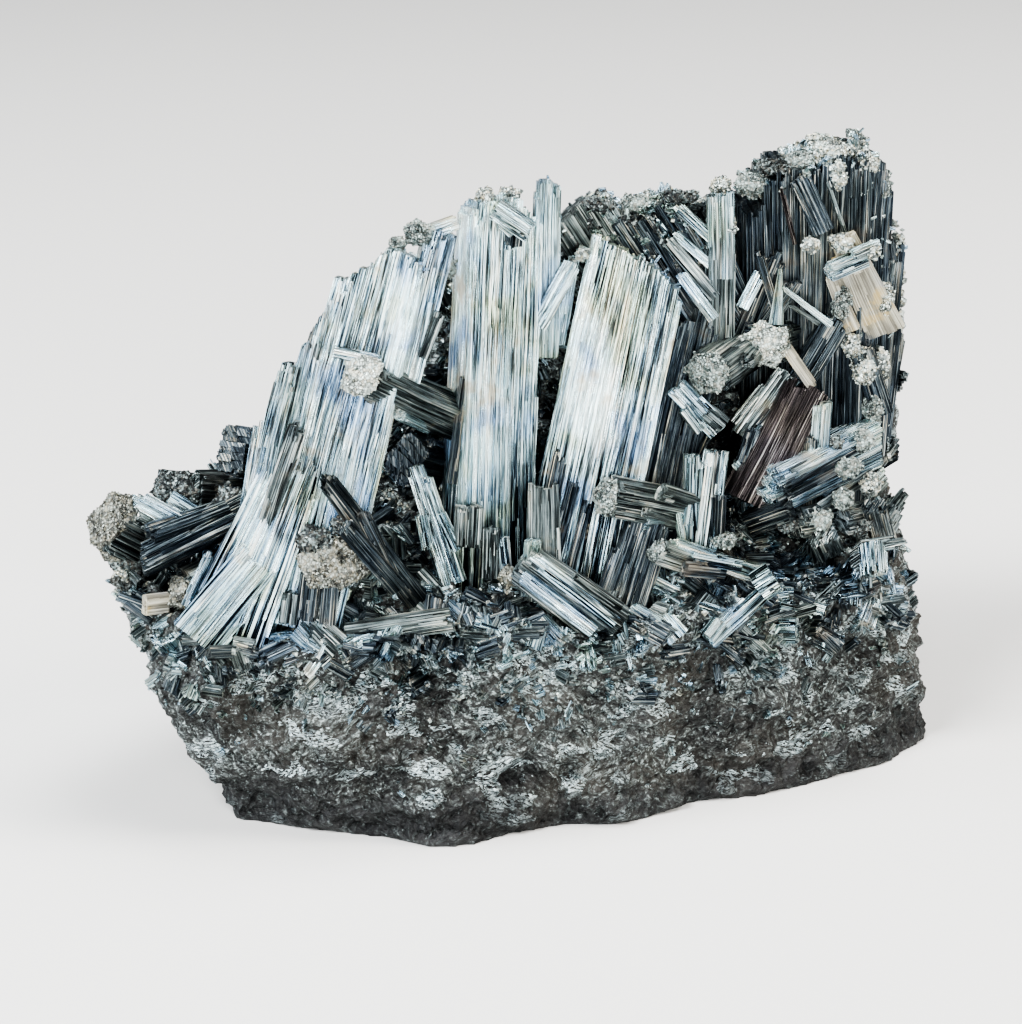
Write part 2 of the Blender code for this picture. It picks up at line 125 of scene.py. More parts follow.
def mesh_object(name: str, mesh: bpy.types.Mesh) -> bpy.types.Object:
    """Links a new object that shows the mesh."""
    made = bpy.data.objects.new(name, mesh)
    bpy.context.scene.collection.objects.link(made)
    return made


def evaluated_mesh(holder: bpy.types.Object) -> bpy.types.Mesh:
    """The holder's mesh with its modifiers, as a free mesh; the holder is removed."""
    graph = bpy.context.evaluated_depsgraph_get()
    mesh = bpy.data.meshes.new_from_object(holder.evaluated_get(graph), depsgraph=graph)
    bpy.data.objects.remove(holder, do_unlink=True)
    return mesh


def seat(name: str, meshes: list[bpy.types.Mesh], slot: Slot) -> bpy.types.Object:
    """Joins meshes into one piece that rides on the rock's body.

    Args:
        name: Name of the piece.
        meshes: Meshes already in place; their UV maps and materials are kept.
        slot: Record slot; not used.

    Returns:
        The piece, at the origin.
    """
    parts = [mesh_object(f"{name}_part", mesh) for mesh in meshes]
    with bpy.context.temp_override(
            active_object=parts[0], object=parts[0], selected_objects=parts,
            selected_editable_objects=parts):
        if len(parts) > 1:
            bpy.ops.object.join()
    piece = parts[0]
    piece.name = piece.data.name = name
    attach(piece, BODY)
    return piece


# ---- node graphs


class Wire:
    """An output of a node. Arithmetic on wires adds the nodes that work it out."""

    def __init__(self, graph: "Graph", socket: bpy.types.NodeSocket) -> None:
        self.graph = graph
        self.socket = socket

    def __getitem__(self, key: int | str) -> "Wire":
        """Another output of the same node."""
        return Wire(self.graph, self.socket.node.outputs[key])

    def __add__(self, other: Any) -> "Wire":
        return self.graph.math("ADD", self, other)

    def __sub__(self, other: Any) -> "Wire":
        return self.graph.math("SUBTRACT", self, other)

    def __rsub__(self, other: Any) -> "Wire":
        return self.graph.math("SUBTRACT", other, self)

    def __mul__(self, other: Any) -> "Wire":
        return self.graph.math("MULTIPLY", self, other)

    def __truediv__(self, other: Any) -> "Wire":
        return self.graph.math("DIVIDE", self, other)

    def __pow__(self, other: Any) -> "Wire":
        return self.graph.math("POWER", self, other)


class Graph:
    """Adds nodes to a shader or geometry tree."""

    def __init__(self, tree: bpy.types.NodeTree) -> None:
        self.tree = tree

    def feed(self, value: Any, socket: bpy.types.NodeSocket) -> None:
        """Links a wire to an input, or sets the input to a value that is the same everywhere."""
        if isinstance(value, Wire):
            self.tree.links.new(value.socket, socket)
        else:
            socket.default_value = value

    def add(self, kind: str, inputs: dict[Any, Any] | None = None, out: int | str = 0,
            **settings: Any) -> Wire:
        """Adds one node.

        Args:
            kind: Node type identifier.
            inputs: Input name or number, with its value or wire.
            out: Which output to give back.
            settings: Properties of the node.

        Returns:
            The output.
        """
        node = self.tree.nodes.new(kind)
        for key, value in settings.items():
            setattr(node, key, value)
        for key, value in (inputs or {}).items():
            self.feed(value, node.inputs[key])
        return Wire(self, node.outputs[out])

    def math(self, operation: str, *values: Any) -> Wire:
        """Adds a Math node, or a Vector Math node when a value is a vector.

        Args:
            operation: Math operation; MULTIPLY of a vector by a number becomes SCALE.
            values: Numbers, tuples or wires, in order.

        Returns:
            The result.
        """
        vectors = [isinstance(value, tuple) or isinstance(value, Wire)
                   and value.socket.type in ("VECTOR", "RGBA") for value in values]
        if not any(vectors):
            return self.add("ShaderNodeMath", dict(enumerate(values)), operation=operation)
        slots = dict(enumerate(values))
        if operation == "MULTIPLY" and not all(vectors):
            operation, slots = "SCALE", {0: values[0], "Scale": values[1]}
        return self.add("ShaderNodeVectorMath", slots, operation=operation)

    def combine(self, *parts: Any) -> Wire:
        """A vector of up to three parts."""
        return self.add("ShaderNodeCombineXYZ", dict(enumerate(parts)))

    def split(self, vector: Wire) -> tuple[Wire, Wire, Wire]:
        """The three parts of a vector or colour."""
        first = self.add("ShaderNodeSeparateXYZ", {0: vector})
        return first, first[1], first[2]

    def remap(self, value: Wire, low: float, high: float, to_low: float = 0.0,
              to_high: float = 1.0, curve: str = "SMOOTHSTEP") -> Wire:
        """Maps low..high to to_low..to_high, clamped, along a smooth or linear curve."""
        return self.add("ShaderNodeMapRange", {
            "Value": value, "From Min": low, "From Max": high, "To Min": to_low, "To Max": to_high},
            interpolation_type=curve)

    def mix(self, factor: Any, first: Any, second: Any, blend: str = "MIX") -> Wire:
        """Mixes two colours, each a wire or a hex code."""
        sides = [linear(side) if isinstance(side, str) else side for side in (first, second)]
        # The node has a set of sockets for each type of data; these are the ones for colours.
        return self.add("ShaderNodeMix", {0: factor, 6: sides[0], 7: sides[1]}, 2,
                        data_type="RGBA", blend_type=blend, clamp_factor=True)

    def noise(self, vector: Wire, scale: float, detail: float = 3.0,
              roughness: float = 0.55) -> Wire:
        """A Noise texture's value; its colour is the output "Color"."""
        return self.add("ShaderNodeTexNoise", {
            "Vector": vector, "Scale": scale, "Detail": detail, "Roughness": roughness})

    def cells(self, vector: Wire, scale: float, out: str = "Distance", **settings: Any) -> Wire:
        """A Voronoi texture."""
        return self.add("ShaderNodeTexVoronoi", {"Vector": vector, "Scale": scale}, out, **settings)

    def ramp(self, value: Wire, tones: str) -> Wire:
        """A colour ramp from a row of positions, each followed by its hex code."""
        ramp = self.add("ShaderNodeValToRGB", {0: value})
        stops, words = ramp.socket.node.color_ramp.elements, tones.split()
        while len(stops) < len(words) / 2:
            stops.new(0.5)
        for stop, spot, code in zip(stops, words[::2], words[1::2]):
            stop.position = float(spot)
            stop.color = linear(code)
        return ramp

    def bump(self, height: Wire, strength: float, depth: float) -> Wire:
        """Normals of a relief whose depth is in millimetres."""
        return self.add("ShaderNodeBump", {
            "Strength": strength, "Distance": depth * MM, "Height": height})

    def fibre_streaks(self, place: Wire, patch_scale: float,
                      fibre_scale: float) -> tuple[Wire, Wire]:
        """Streaks that run one way inside each patch, as the fibres of massive manganite do.

        Args:
            place: Position, in metres.
            patch_scale: Patches per metre.
            fibre_scale: Fibres per metre across the streaks.

        Returns:
            The streak value and a random value of the patch.
        """
        wobble = self.noise(place, patch_scale * 0.8, 1.0, 0.5)["Color"] - GREY_POINT
        cells = self.cells(place + wobble * (0.6 / patch_scale), patch_scale, "Color")
        way = self.math("NORMALIZE", cells - GREY_POINT)
        ripple = self.noise(place, fibre_scale * 0.3, 2.0, 0.5)["Color"] - GREY_POINT
        spot = place + ripple * (3.2 / fibre_scale)
        along = self.math("DOT_PRODUCT", spot, way)["Value"]
        return self.noise(spot - way * (along * 0.86), fibre_scale, 3.0, 0.6), self.split(cells)[0]


# ---- finishes


@dataclass(frozen=True)
class Finish:
    """A finish, known by the name of its material."""

    name: str

    def build(self) -> bpy.types.Material:
        """Builds the material from what the finish paints."""
        material = bpy.data.materials.new(self.name)
        material.use_nodes = True
        graph = Graph(material.node_tree)
        shader = material.node_tree.nodes["Principled BSDF"]
        for key, value in self.paint(graph).items():
            graph.feed(value, shader.inputs[key])
        return material

    def paint(self, graph: Graph) -> dict[str, Any]:
        """Adds the nodes and gives back the shader's inputs by name."""
        raise NotImplementedError


@dataclass(frozen=True)
class LathFinish(Finish):
    """Submetallic faces of manganite laths, striated along their length.

    Attributes:
        tones: Colours from the darkest lath to the lightest.
        metallic: How metallic the faces are.
        roughness: Their roughness.
        striation: Strength of the bump.
        groove_shade: Strength of the painted shade in the gaps between laths.
        film: Colour of the iron and clay film.
        filmed: Share of the surface with a film.
        banding: Change of tone from lath to lath.
        hair: Change of tone from hairline to hairline.
        shade: Strength of the painted shade that darkens some laths lower down, near their roots.
        calm: How much the striation fades on some stretches.
        tarnish: Strength of the blue and cream tarnish.
    """

    tones: str
    metallic: float
    roughness: float
    striation: float
    groove_shade: float
    film: str
    filmed: float
    banding: float = 0.34
    hair: float = 0.9
    shade: float = 0.0
    calm: float = 0.3
    tarnish: float = 0.25

    def paint(self, graph: Graph) -> dict[str, Any]:
        """Reads the UV map "grain": across and along the lath, in millimetres."""
        grain = graph.add("ShaderNodeUVMap", uv_map="grain")
        own = graph.add("ShaderNodeAttribute", out="Fac", attribute_name="lath")
        place = graph.add("ShaderNodeTexCoord", out="Object")
        # Laths half a millimetre wide, and hair-thin ones on them.
        broad, broad_gap = self.strips(graph, grain * (2.4, 0.034, 1.0), 0.14)
        fine, fine_gap = self.strips(graph, grain * (6.4, 0.06, 1.0), 0.24)
        hair = graph.noise(grain * (10.0, 0.07, 1.0), 1.0, 3.0, 0.7)
        patch = graph.noise(place, per(6.0), 4.0, 0.6)
        fade = graph.noise(grain * (0.7, 0.12, 1.0), 1.0, 2.0, 0.6)
        tone = own * 0.2 + broad * self.banding + fine * 0.3 + hair * self.hair
        # The striation is weaker on calm stretches, which are a little lighter.
        drawn = place * (1.0, 1.0, 0.45)
        calm = graph.remap(graph.noise(drawn, per(11.0), 2.0), 0.44, 0.58, 0.0, self.calm)
        mean = 0.25 + 0.5 * (self.banding + self.hair)
        tone = (tone - mean) * (calm * -0.62 + 1.1) + (calm * 0.1 + mean) + patch * 0.5
        # Painted shade: some laths darken lower down, towards their roots in the vug.
        level = graph.split(place)[2]
        deep = graph.remap(patch * (-16.0 * MM) + level, 20.0 * MM, 48.0 * MM, -self.shade, 0.0)
        tone = deep * (1.0 - broad) + tone
        base = graph.ramp(graph.remap(tone, 0.72, 1.5, curve="LINEAR"), self.tones)
        film = graph.remap(patch, 0.66 - 0.3 * self.filmed, 0.76 - 0.3 * self.filmed)
        base = graph.mix(film * 0.6, base, self.film)
        # Painted shade: the gaps between laths turn near black, and also sink in the bump; less so
        # on calm stretches.
        gap = broad_gap * graph.remap(fade, 0.34, 0.5, 0.35, 1.0)
        thin = fine_gap * graph.remap(fade, 0.46, 0.64, 0.05, 0.85)
        gap = graph.math("MAXIMUM", gap, thin) * (calm * -0.6 + 1.0)
        # Thin oxide films turn stretches of a face blue, and clay turns others cream.
        tint = graph.noise(place, per(8.0), 2.0)
        for low, high, stain in ((0.52, 0.66, "#BACAEC"), (0.48, 0.34, "#F2E8C8")):
            share = graph.remap(tint, low, high, 0.0, self.tarnish)
            base = graph.mix(share, base, stain, "MULTIPLY")
        return {
            "Base Color": graph.mix(gap * self.groove_shade, base, GROOVE_SHADE_BLACK),
            "Metallic": film * (-0.35 * self.metallic) + self.metallic,
            "Roughness": film * 0.18 + self.roughness + fine * 0.12,
            "Normal": graph.bump(broad * 0.8 + hair + fine * 0.4 - gap, self.striation, 0.12),
        }

    def strips(self, graph: Graph, drawn: Wire, gap: float) -> tuple[Wire, Wire]:
        """Long narrow cells, each with a tone of its own, and the gaps between them.

        Args:
            graph: Shader graph.
            drawn: Place across and along the lath, in cells.
            gap: Half width of the gap, in cells.

        Returns:
            The tone of the cell and how much of a gap there is.
        """
        tone = graph.cells(drawn, 1.0, "Color", voronoi_dimensions="2D")
        edge = graph.cells(drawn, 1.0, voronoi_dimensions="2D", feature="DISTANCE_TO_EDGE")
        return graph.split(tone)[0], graph.remap(edge, gap * 0.35, gap, 1.0, 0.0)


@dataclass(frozen=True)
class CrustFinish(Finish):
    """Sugary crust of tiny crystals on knobs and terminations.

    Attributes:
        light: Colour of the clean grains.
        dark: Colour of the grains that are manganese-black.
        warm: Colour of the clay-stained grains.
        dark_share: Share of dark grains.
        gap: Colour of the painted shade between the grains.
        grain: Size of a grain, in millimetres.
    """

    light: str
    dark: str
    warm: str
    dark_share: float
    gap: str = "#1A1B1C"
    grain: float = 0.5

    def paint(self, graph: Graph) -> dict[str, Any]:
        """Colours each grain by its cell, with a few that glint."""
        place = graph.add("ShaderNodeTexCoord", out="Object")
        tint, relief, spark = graph.split(graph.cells(place, per(self.grain), "Color"))
        edge = graph.cells(place, per(self.grain), feature="DISTANCE_TO_EDGE")
        clump = graph.noise(place, per(2.6))
        clean = graph.remap(clump * 0.9 + tint, 0.30 + self.dark_share, 1.05 + self.dark_share)
        base = graph.mix(clean, self.dark, self.light)
        base = graph.mix(graph.remap(clump * 0.7 + relief, 0.9, 1.2) * 0.7, base, self.warm)
        # Painted shade between the grains, weaker where the clump noise is high.
        gap = graph.remap(edge, 0.02, 0.13, 1.0, 0.0) * graph.remap(clump, 0.38, 0.6, 1.0, 0.3)
        glint = graph.remap(spark, 0.66, 0.74)
        height = graph.noise(place, per(0.28), 2.0) * 0.5 + relief - gap
        return {
            "Base Color": graph.mix(gap, base, self.gap),
            "Metallic": glint * 0.85,
            "Roughness": glint * -0.4 + 0.68,
            "Normal": graph.bump(height, 0.9, 0.2),
        }


@dataclass(frozen=True)
class MatrixFinish(Finish):
    """Massive manganite matrix: dull brown-grey with fibrous cleavage that flashes silver in
    painted highlights.

    Attributes:
        tones: Colours from the deepest hollow to the brightest fibre; the dark end is partly the
            rock's own tone and partly painted shade in the hollows of the bump.
        brown: Colour of the limonite-stained patches.
        cleavage_highlight: Colour of the cleavage faces, partly their silver lustre and partly
            painted highlight.
        foot: Colour of the painted shade along the rock's foot.
    """

    tones: str
    brown: str
    cleavage_highlight: str
    foot: str

    def paint(self, graph: Graph) -> dict[str, Any]:
        """Fibre direction changes from patch to patch of a few millimetres."""
        place = graph.add("ShaderNodeTexCoord", out="Object")
        level = graph.split(place)[2]
        streak, patch = graph.fibre_streaks(place, per(8.5), per(0.5))
        small, chip = graph.fibre_streaks(place * (0.8, 1.0, 1.45), per(3.0), per(0.26))
        crisp, thin = (graph.remap(fibre, 0.36, 0.66, curve="LINEAR") for fibre in (streak, small))
        broad = graph.noise(place, per(12.0), 4.0)
        ground = graph.noise(place, per(1.0), 4.0, 0.64)
        # The tone follows the same noises as the bump, so hollows are darker: partly the fibres'
        # own tone, partly painted shade.
        tone = crisp * 0.56 + thin * 0.42 + ground * 0.46 + patch * 0.22 + broad * 0.3
        base = graph.ramp(graph.remap(tone, 0.6, 1.42, curve="LINEAR"), self.tones)
        base = graph.mix(graph.remap(broad, 0.44, 0.64) * 0.45, base, self.brown)
        # Painted shade: the rock turns near black towards its foot, with an uneven edge.
        foot = graph.remap(broad * (14.0 * MM) + level, 9.0 * MM, 15.0 * MM, 0.66, 0.0)
        base = graph.mix(foot, base, self.foot)
        # Painted highlights: cleavage faces light up silver on some patches, mostly near the vug,
        # and single grains everywhere; fewer at the foot.
        highlight_chance = level * 7.0 + chip + (broad - 0.5) * 0.8
        bright = graph.remap(highlight_chance, 0.84, 1.02) * graph.remap(thin, 0.32, 0.66)
        painted_glint = graph.remap(level * 1.6 + graph.noise(place, per(0.9), 2.0, 0.6), 0.68, 0.74)
        bright = graph.math("MAXIMUM", bright, painted_glint * graph.remap(thin, 0.25, 0.6))
        bright = bright * graph.remap(foot, 0.2, 0.6, 1.0, 0.25)
        return {
            "Base Color": graph.mix(bright, base, self.cleavage_highlight),
            "Metallic": bright * 0.5 + graph.remap(chip, 0.2, 0.9, 0.1, 0.45),
            "Roughness": ground * 0.3 + 0.36 + bright * -0.2,
            "Normal": graph.bump(crisp * 0.5 + ground + thin * 0.3, 0.9, 0.24),
        }


@dataclass(frozen=True)
class PlainFinish(Finish):
    """One plain matt colour, for the floor."""

    colour: str
    roughness: float

    def paint(self, graph: Graph) -> dict[str, Any]:
        """Sets the shader's own sockets."""
        return {"Base Color": linear(self.colour), "Roughness": self.roughness,
                "Specular IOR Level": 0.2}


# ---- geometry trees


class GeometryTree(Graph):
    """A Geometry Nodes tree built in script, run on an object to get a finished mesh.

    Attributes:
        title: Name of the tree.
        inputs: Names of the tree's inputs, by kind of socket.
        given: First output of the group's input; the others are found by name.
    """

    title = "tree"
    inputs: dict[str, str] = {}

    def __init__(self) -> None:
        super().__init__(bpy.data.node_groups.new(self.title, "GeometryNodeTree"))
        face = self.tree.interface
        for side in ("INPUT", "OUTPUT"):
            face.new_socket("Geometry", in_out=side, socket_type="NodeSocketGeometry")
        self.keys: dict[str, str] = {}
        for kind, names in self.inputs.items():
            for name in names.split():
                socket = face.new_socket(name, in_out="INPUT", socket_type=f"NodeSocket{kind}")
                self.keys[name] = socket.identifier
        self.given = self.add("NodeGroupInput")
        sink = self.tree.nodes.new("NodeGroupOutput")
        flat = self.add("GeometryNodeSetShadeSmooth", {
            "Geometry": self.grow(), "Shade Smooth": False})
        self.feed(self.add("GeometryNodeSetMaterial", {
            "Geometry": flat, "Material": self.given["Material"]}), sink.inputs[0])

    def grow(self) -> Wire:
        """Adds the tree's nodes and gives back the realised geometry."""
        raise NotImplementedError

    def position(self) -> Wire:
        """Where each point is."""
        return self.add("GeometryNodeInputPosition")

    def seeded(self, place: Wire) -> Wire:
        """The place, moved along X by the tree's seed."""
        return place + self.combine(self.given["Seed"])

    def random(self, low: Any, high: Any, salt: int) -> Wire:
        """A random number or vector per element, offset by the tree's seed."""
        # The node's first two sockets are for vectors, the next two for numbers.
        kind, first = ("FLOAT_VECTOR", 0) if isinstance(low, tuple) else ("FLOAT", 2)
        seed = self.given["Seed"] + float(salt)
        return self.add("FunctionNodeRandomValue", {first: low, first + 1: high, "Seed": seed},
                        first // 2, data_type=kind)

    def named(self, name: str, kind: str = "FLOAT") -> Wire:
        """A named attribute."""
        return self.add("GeometryNodeInputNamedAttribute", {"Name": name}, data_type=kind)

    def store(self, geometry: Wire, name: str, value: Wire, kind: str,
              domain: str = "POINT") -> Wire:
        """Stores a named attribute."""
        return self.add("GeometryNodeStoreNamedAttribute", {
            "Geometry": geometry, "Name": name, "Value": value}, data_type=kind, domain=domain)

    def move(self, geometry: Wire, **moves: Wire) -> Wire:
        """Sets the Position, or adds an Offset."""
        return self.add("GeometryNodeSetPosition", {"Geometry": geometry, **moves})

    def sprinkle(self, points: Wire, shape: Wire, rotation: Wire, scale: Wire) -> Wire:
        """Puts a turned and scaled instance of the shape on each point."""
        return self.add("GeometryNodeInstanceOnPoints", {
            "Points": points, "Instance": shape, "Rotation": rotation, "Scale": scale})

    def join(self, parts: Iterable[Wire]) -> Wire:
        """Joins geometry."""
        both = self.add("GeometryNodeJoinGeometry")
        for part in parts:
            self.feed(part, both.socket.node.inputs[0])
        return both

    def realized(self, geometry: Wire) -> Wire:
        """Turns instances into mesh."""
        return self.add("GeometryNodeRealizeInstances", {"Geometry": geometry})

    def run(self, mesh: bpy.types.Mesh | None, values: dict[str, Any]) -> bpy.types.Mesh:
        """Runs the tree.

        Args:
            mesh: Input mesh, or None when the tree needs none.
            values: Input values by name.

        Returns:
            The realised mesh.
        """
        holder = mesh_object("holder", mesh or bpy.data.meshes.new("seed"))
        modifier = holder.modifiers.new(self.title, "NODES")
        modifier.node_group = self.tree
        for key, value in values.items():
            modifier[self.keys[key]] = value
        holder.update_tag()
        return evaluated_mesh(holder)


@dataclass(frozen=True)
class LathLayer:
    """One sheet of laths on both faces of a prism.

    Attributes:
        salt: Offset of the random seed.
        pitch: Spacing, as a multiple of the lath width.
        widths: Least and greatest lath width, as multiples of the pitch.
        depth: Depth of a lath, as a share of the prism's, or in metres when less than THIN.
        relief: Least and greatest height above the face, as multiples of the tree's relief.
        late: Share of the length over which laths may start.
        early: Share of the length that laths may lack at the tip.
        yaw: Greatest turn about the length, in radians.
        turned: Covers the two narrow sides instead of the two broad faces.
    """

    salt: int
    pitch: float
    widths: tuple[float, float]
    depth: float
    relief: tuple[float, float]
    late: float
    early: float
    yaw: float
    turned: bool = False


LARGE_LAYERS = (
    LathLayer(10, 2.2, (1.1, 1.5), 0.5, (-1.4, -0.2), 0.0, 0.03, 0.02),
    LathLayer(20, 1.0, (0.6, 1.5), 0.0006, (-0.9, 1.0), 0.25, 0.05, 0.09),
    LathLayer(30, 0.8, (0.4, 1.1), 0.0005, (-0.9, 1.4), 0.8, 0.2, 0.14),
    LathLayer(40, 6.0, (0.3, 0.8), 0.0008, (0.2, 1.9), 0.8, 0.5, 0.05),
    LathLayer(50, 1.0, (0.7, 1.6), 0.0006, (-0.9, 1.0), 0.25, 0.08, 0.1, True),
    LathLayer(60, 0.9, (0.4, 1.1), 0.0005, (-0.9, 1.4), 0.8, 0.25, 0.14, True),
)
# Sheets of the small bundles: fewer laths, all of the full depth or nearly.
SMALL_LAYERS = (
    LathLayer(10, 1.0, (0.8, 1.3), 0.55, (-1.0, 1.2), 0.0, 0.3, 0.12),
    LathLayer(20, 1.3, (0.5, 0.9), 0.0003, (-0.2, 1.0), 0.5, 0.4, 0.25),
)


class LathBundleTree(GeometryTree):
    """Grows a prism of tight parallel laths standing on the XY plane, with UVs in millimetres.

    The prism is a row of blocks, each with its own depth and height, as parallel intergrowths
    have. Thin laths cover its faces, and plates that start and end part way make the steps.
    """

    title = "lath bundle"
    inputs = {
        "Float": "Width Thickness Length Block Lath Spread Crown Slope Ragged Step Relief Bend",
        "Int": "Seed",
        "Material": "Material",
    }

    def __init__(self, layers: tuple[LathLayer, ...] = LARGE_LAYERS, segments: int = 5) -> None:
        self.layers = layers
        self.segments = segments
        super().__init__()

    def block_value(self, across: Wire, salt: float) -> Wire:
        """A random value from 0 to 1 that the laths of one block share."""
        seed = self.given["Seed"]
        ratio = across / self.given["Block"]
        wave = self.math("SINE", ratio * 2.1 + seed)
        number = self.math("FLOOR", wave * 0.35 + ratio)
        return self.add("ShaderNodeTexWhiteNoise", {"W": number * 7.31 + (seed + salt)},
                        noise_dimensions="1D")

    def sheet(self, layer: LathLayer) -> Wire:
        """Grows one realised sheet of laths from its spacing, widths and relief."""
        given, salt = self.given, layer.salt
        wide, deep = given["Width"], given["Thickness"]
        span, through = (deep, wide) if layer.turned else (wide, deep)
        pitch = self.math("MINIMUM", given["Lath"] * layer.pitch, span * 0.5)
        grid = self.add("GeometryNodeMeshGrid", {
            "Size X": span - pitch, "Size Y": 2.0, "Vertices Y": 2,
            "Vertices X": self.math("MAXIMUM", span / pitch, 2.0)})
        column, row, _ = self.split(self.position())
        along = column + self.random(-0.4, 0.4, salt) * pitch
        face = self.math("SIGN", row)
        edge = self.math("MAXIMUM", self.math("MINIMUM", along / (span * 0.5), 1.0), -1.0)
        across, side = (face * (wide * 0.5), face) if layer.turned else (along, edge)
        # How far out the lath lies, and how deep it is.
        half = through * (self.math("ABSOLUTE", edge) ** 5.0 * -0.1 + 0.5)
        stand = given["Relief"] * self.random(*layer.relief, salt + 1)
        if not layer.turned:
            stand = (self.block_value(across, 2.7) - 0.75) * given["Step"] + stand
        if layer.depth < THIN:
            depth = self.math("MINIMUM", layer.depth, through * 0.45)
        else:
            depth = through * layer.depth
        centre = face * (half + stand - depth * 0.5)
        # Where it starts and ends.
        short = self.random(0.0, 1.0, salt + 2) ** 2.0
        drop = self.block_value(across, 9.1) ** 1.5
        grown = side * side * (given["Crown"] * -1.0) + 1.0
        grown = side * given["Slope"] + grown - drop * given["Ragged"] + short * -layer.early
        top = grown * given["Length"]
        late = self.math("MAXIMUM", self.random(0.0, 1.0, salt + 3) * 1.7 + -0.7, 0.0) * layer.late
        start = late * top
        width = pitch * self.random(*layer.widths, salt + 4)
        flip = -1 if layer.turned else 1
        spot = self.combine(*(along, centre)[::flip], start)
        size = self.combine(*(width, depth)[::flip], top - start)
        seats = self.move(self.store(grid, "size", size, "FLOAT_VECTOR"), Position=spot)
        lath = self.add("GeometryNodeMeshCube", {
            "Size": (1.0, 1.0, 1.0), "Vertices X": 2, "Vertices Y": 2, "Vertices Z": self.segments})
        stood = self.add("GeometryNodeTransform", {
            "Geometry": lath, "Translation": (0.0, 0.0, 0.5)})
        turn = self.combine(*(self.random(-most, most, salt + 5 + axis)
                              for axis, most in enumerate((0.006, 0.006, layer.yaw))))
        placed = self.sprinkle(seats, stood, turn, self.named("size", "FLOAT_VECTOR"))
        own = self.random(0.0, 1.0, salt + 8)
        return self.realized(self.store(placed, "lath", own, "FLOAT", "INSTANCE"))

    def grow(self) -> Wire:
        """All sheets, their UVs, the fan and the slight bend."""
        sheets = self.join([self.sheet(layer) for layer in self.layers])
        x, y, z = self.split(self.position())
        own = self.named("lath")
        grain = self.combine(own * 40.0 + (x + y) * 1000.0, z * 1000.0 + own * 300.0)
        mapped = self.store(sheets, "grain", grain, "FLOAT2", "CORNER")
        fan = z / self.given["Length"] * (self.given["Spread"] - 1.0)
        fanned = self.move(mapped, Offset=self.combine(x * fan, y * fan))
        wander = self.noise(self.seeded(self.position()), per(11.0), 1.0, 0.5)["Color"]
        return self.move(fanned, Offset=(wander - GREY_POINT) * self.given["Bend"])


class KnobTree(GeometryTree):
    """Covers a blunt, flat-sided lump with a sugary crust of small faceted grains."""

    title = "granular knob"
    inputs = {"Vector": "Radii", "Float": "Grain", "Int": "Seed", "Material": "Material"}

    def grow(self) -> Wire:
        """Flat-sided lump, swellings, then grains over it."""
        seed = self.given["Seed"]
        ball = self.add("GeometryNodeMeshIcoSphere", {"Radius": 1.0, "Subdivisions": 1})
        faceted = self.add("GeometryNodeSubdivideMesh", {"Mesh": ball, "Level": 3})
        rolled = self.add("GeometryNodeTransform", {
            "Geometry": faceted, "Rotation": self.combine(seed * 1.3, seed * 2.1, seed * 0.7)})
        squeezed = self.add("GeometryNodeTransform", {
            "Geometry": rolled, "Scale": self.given["Radii"]})
        moved = self.seeded(self.position())
        lumps = self.noise(moved, per(3.0), 4.0)
        cells = self.cells(moved, per(1.1), feature="SMOOTH_F1")
        swell = (lumps - 0.5) * (2.2 * MM) + (0.4 - cells) * (0.5 * MM)
        lumpy = self.move(squeezed, Offset=self.add("GeometryNodeInputNormal") * swell)
        points = self.add("GeometryNodeDistributePointsOnFaces", {
            "Mesh": lumpy, "Density": 3.6e6, "Seed": seed}, distribute_method="RANDOM")
        crumb = self.add("GeometryNodeMeshCube", {"Size": (0.86, 0.86, 0.86)})
        grain = self.given["Grain"] * self.random(0.4, 1.15, 3)
        size = self.combine(grain, grain * 0.7, grain * self.random(0.7, 1.7, 5))
        roll = self.random((0, 0, 0), (6.3, 6.3, 6.3), 4)
        return self.realized(self.join([lumpy, self.sprinkle(points, crumb, roll, size)]))


class SkinTree(GeometryTree):
    """Breaks the smooth rock surface into fibrous ledges."""

    title = "broken skin"
    inputs = {"Int": "Seed", "Material": "Material"}

    def grow(self) -> Wire:
        """Moves the surface along its normals by lumps, fibres and pits, but not at its foot."""
        place = self.position()
        streak, _ = self.fibre_streaks(place, per(5.5), per(1.1))
        lumps = self.noise(place * (0.7, 1.0, 1.25), per(7.5), 5.0, 0.58)
        pits = self.cells(place, per(2.6))
        height = (lumps - 0.5) * 7.0 + (streak - 0.5) * 2.2 + (0.35 - pits) * 1.3
        foot = self.remap(self.split(place)[2], 0.2 * MM, 1.6 * MM)
        push = self.add("GeometryNodeInputNormal") * (height * foot * MM)
        return self.move(self.given, Offset=push)


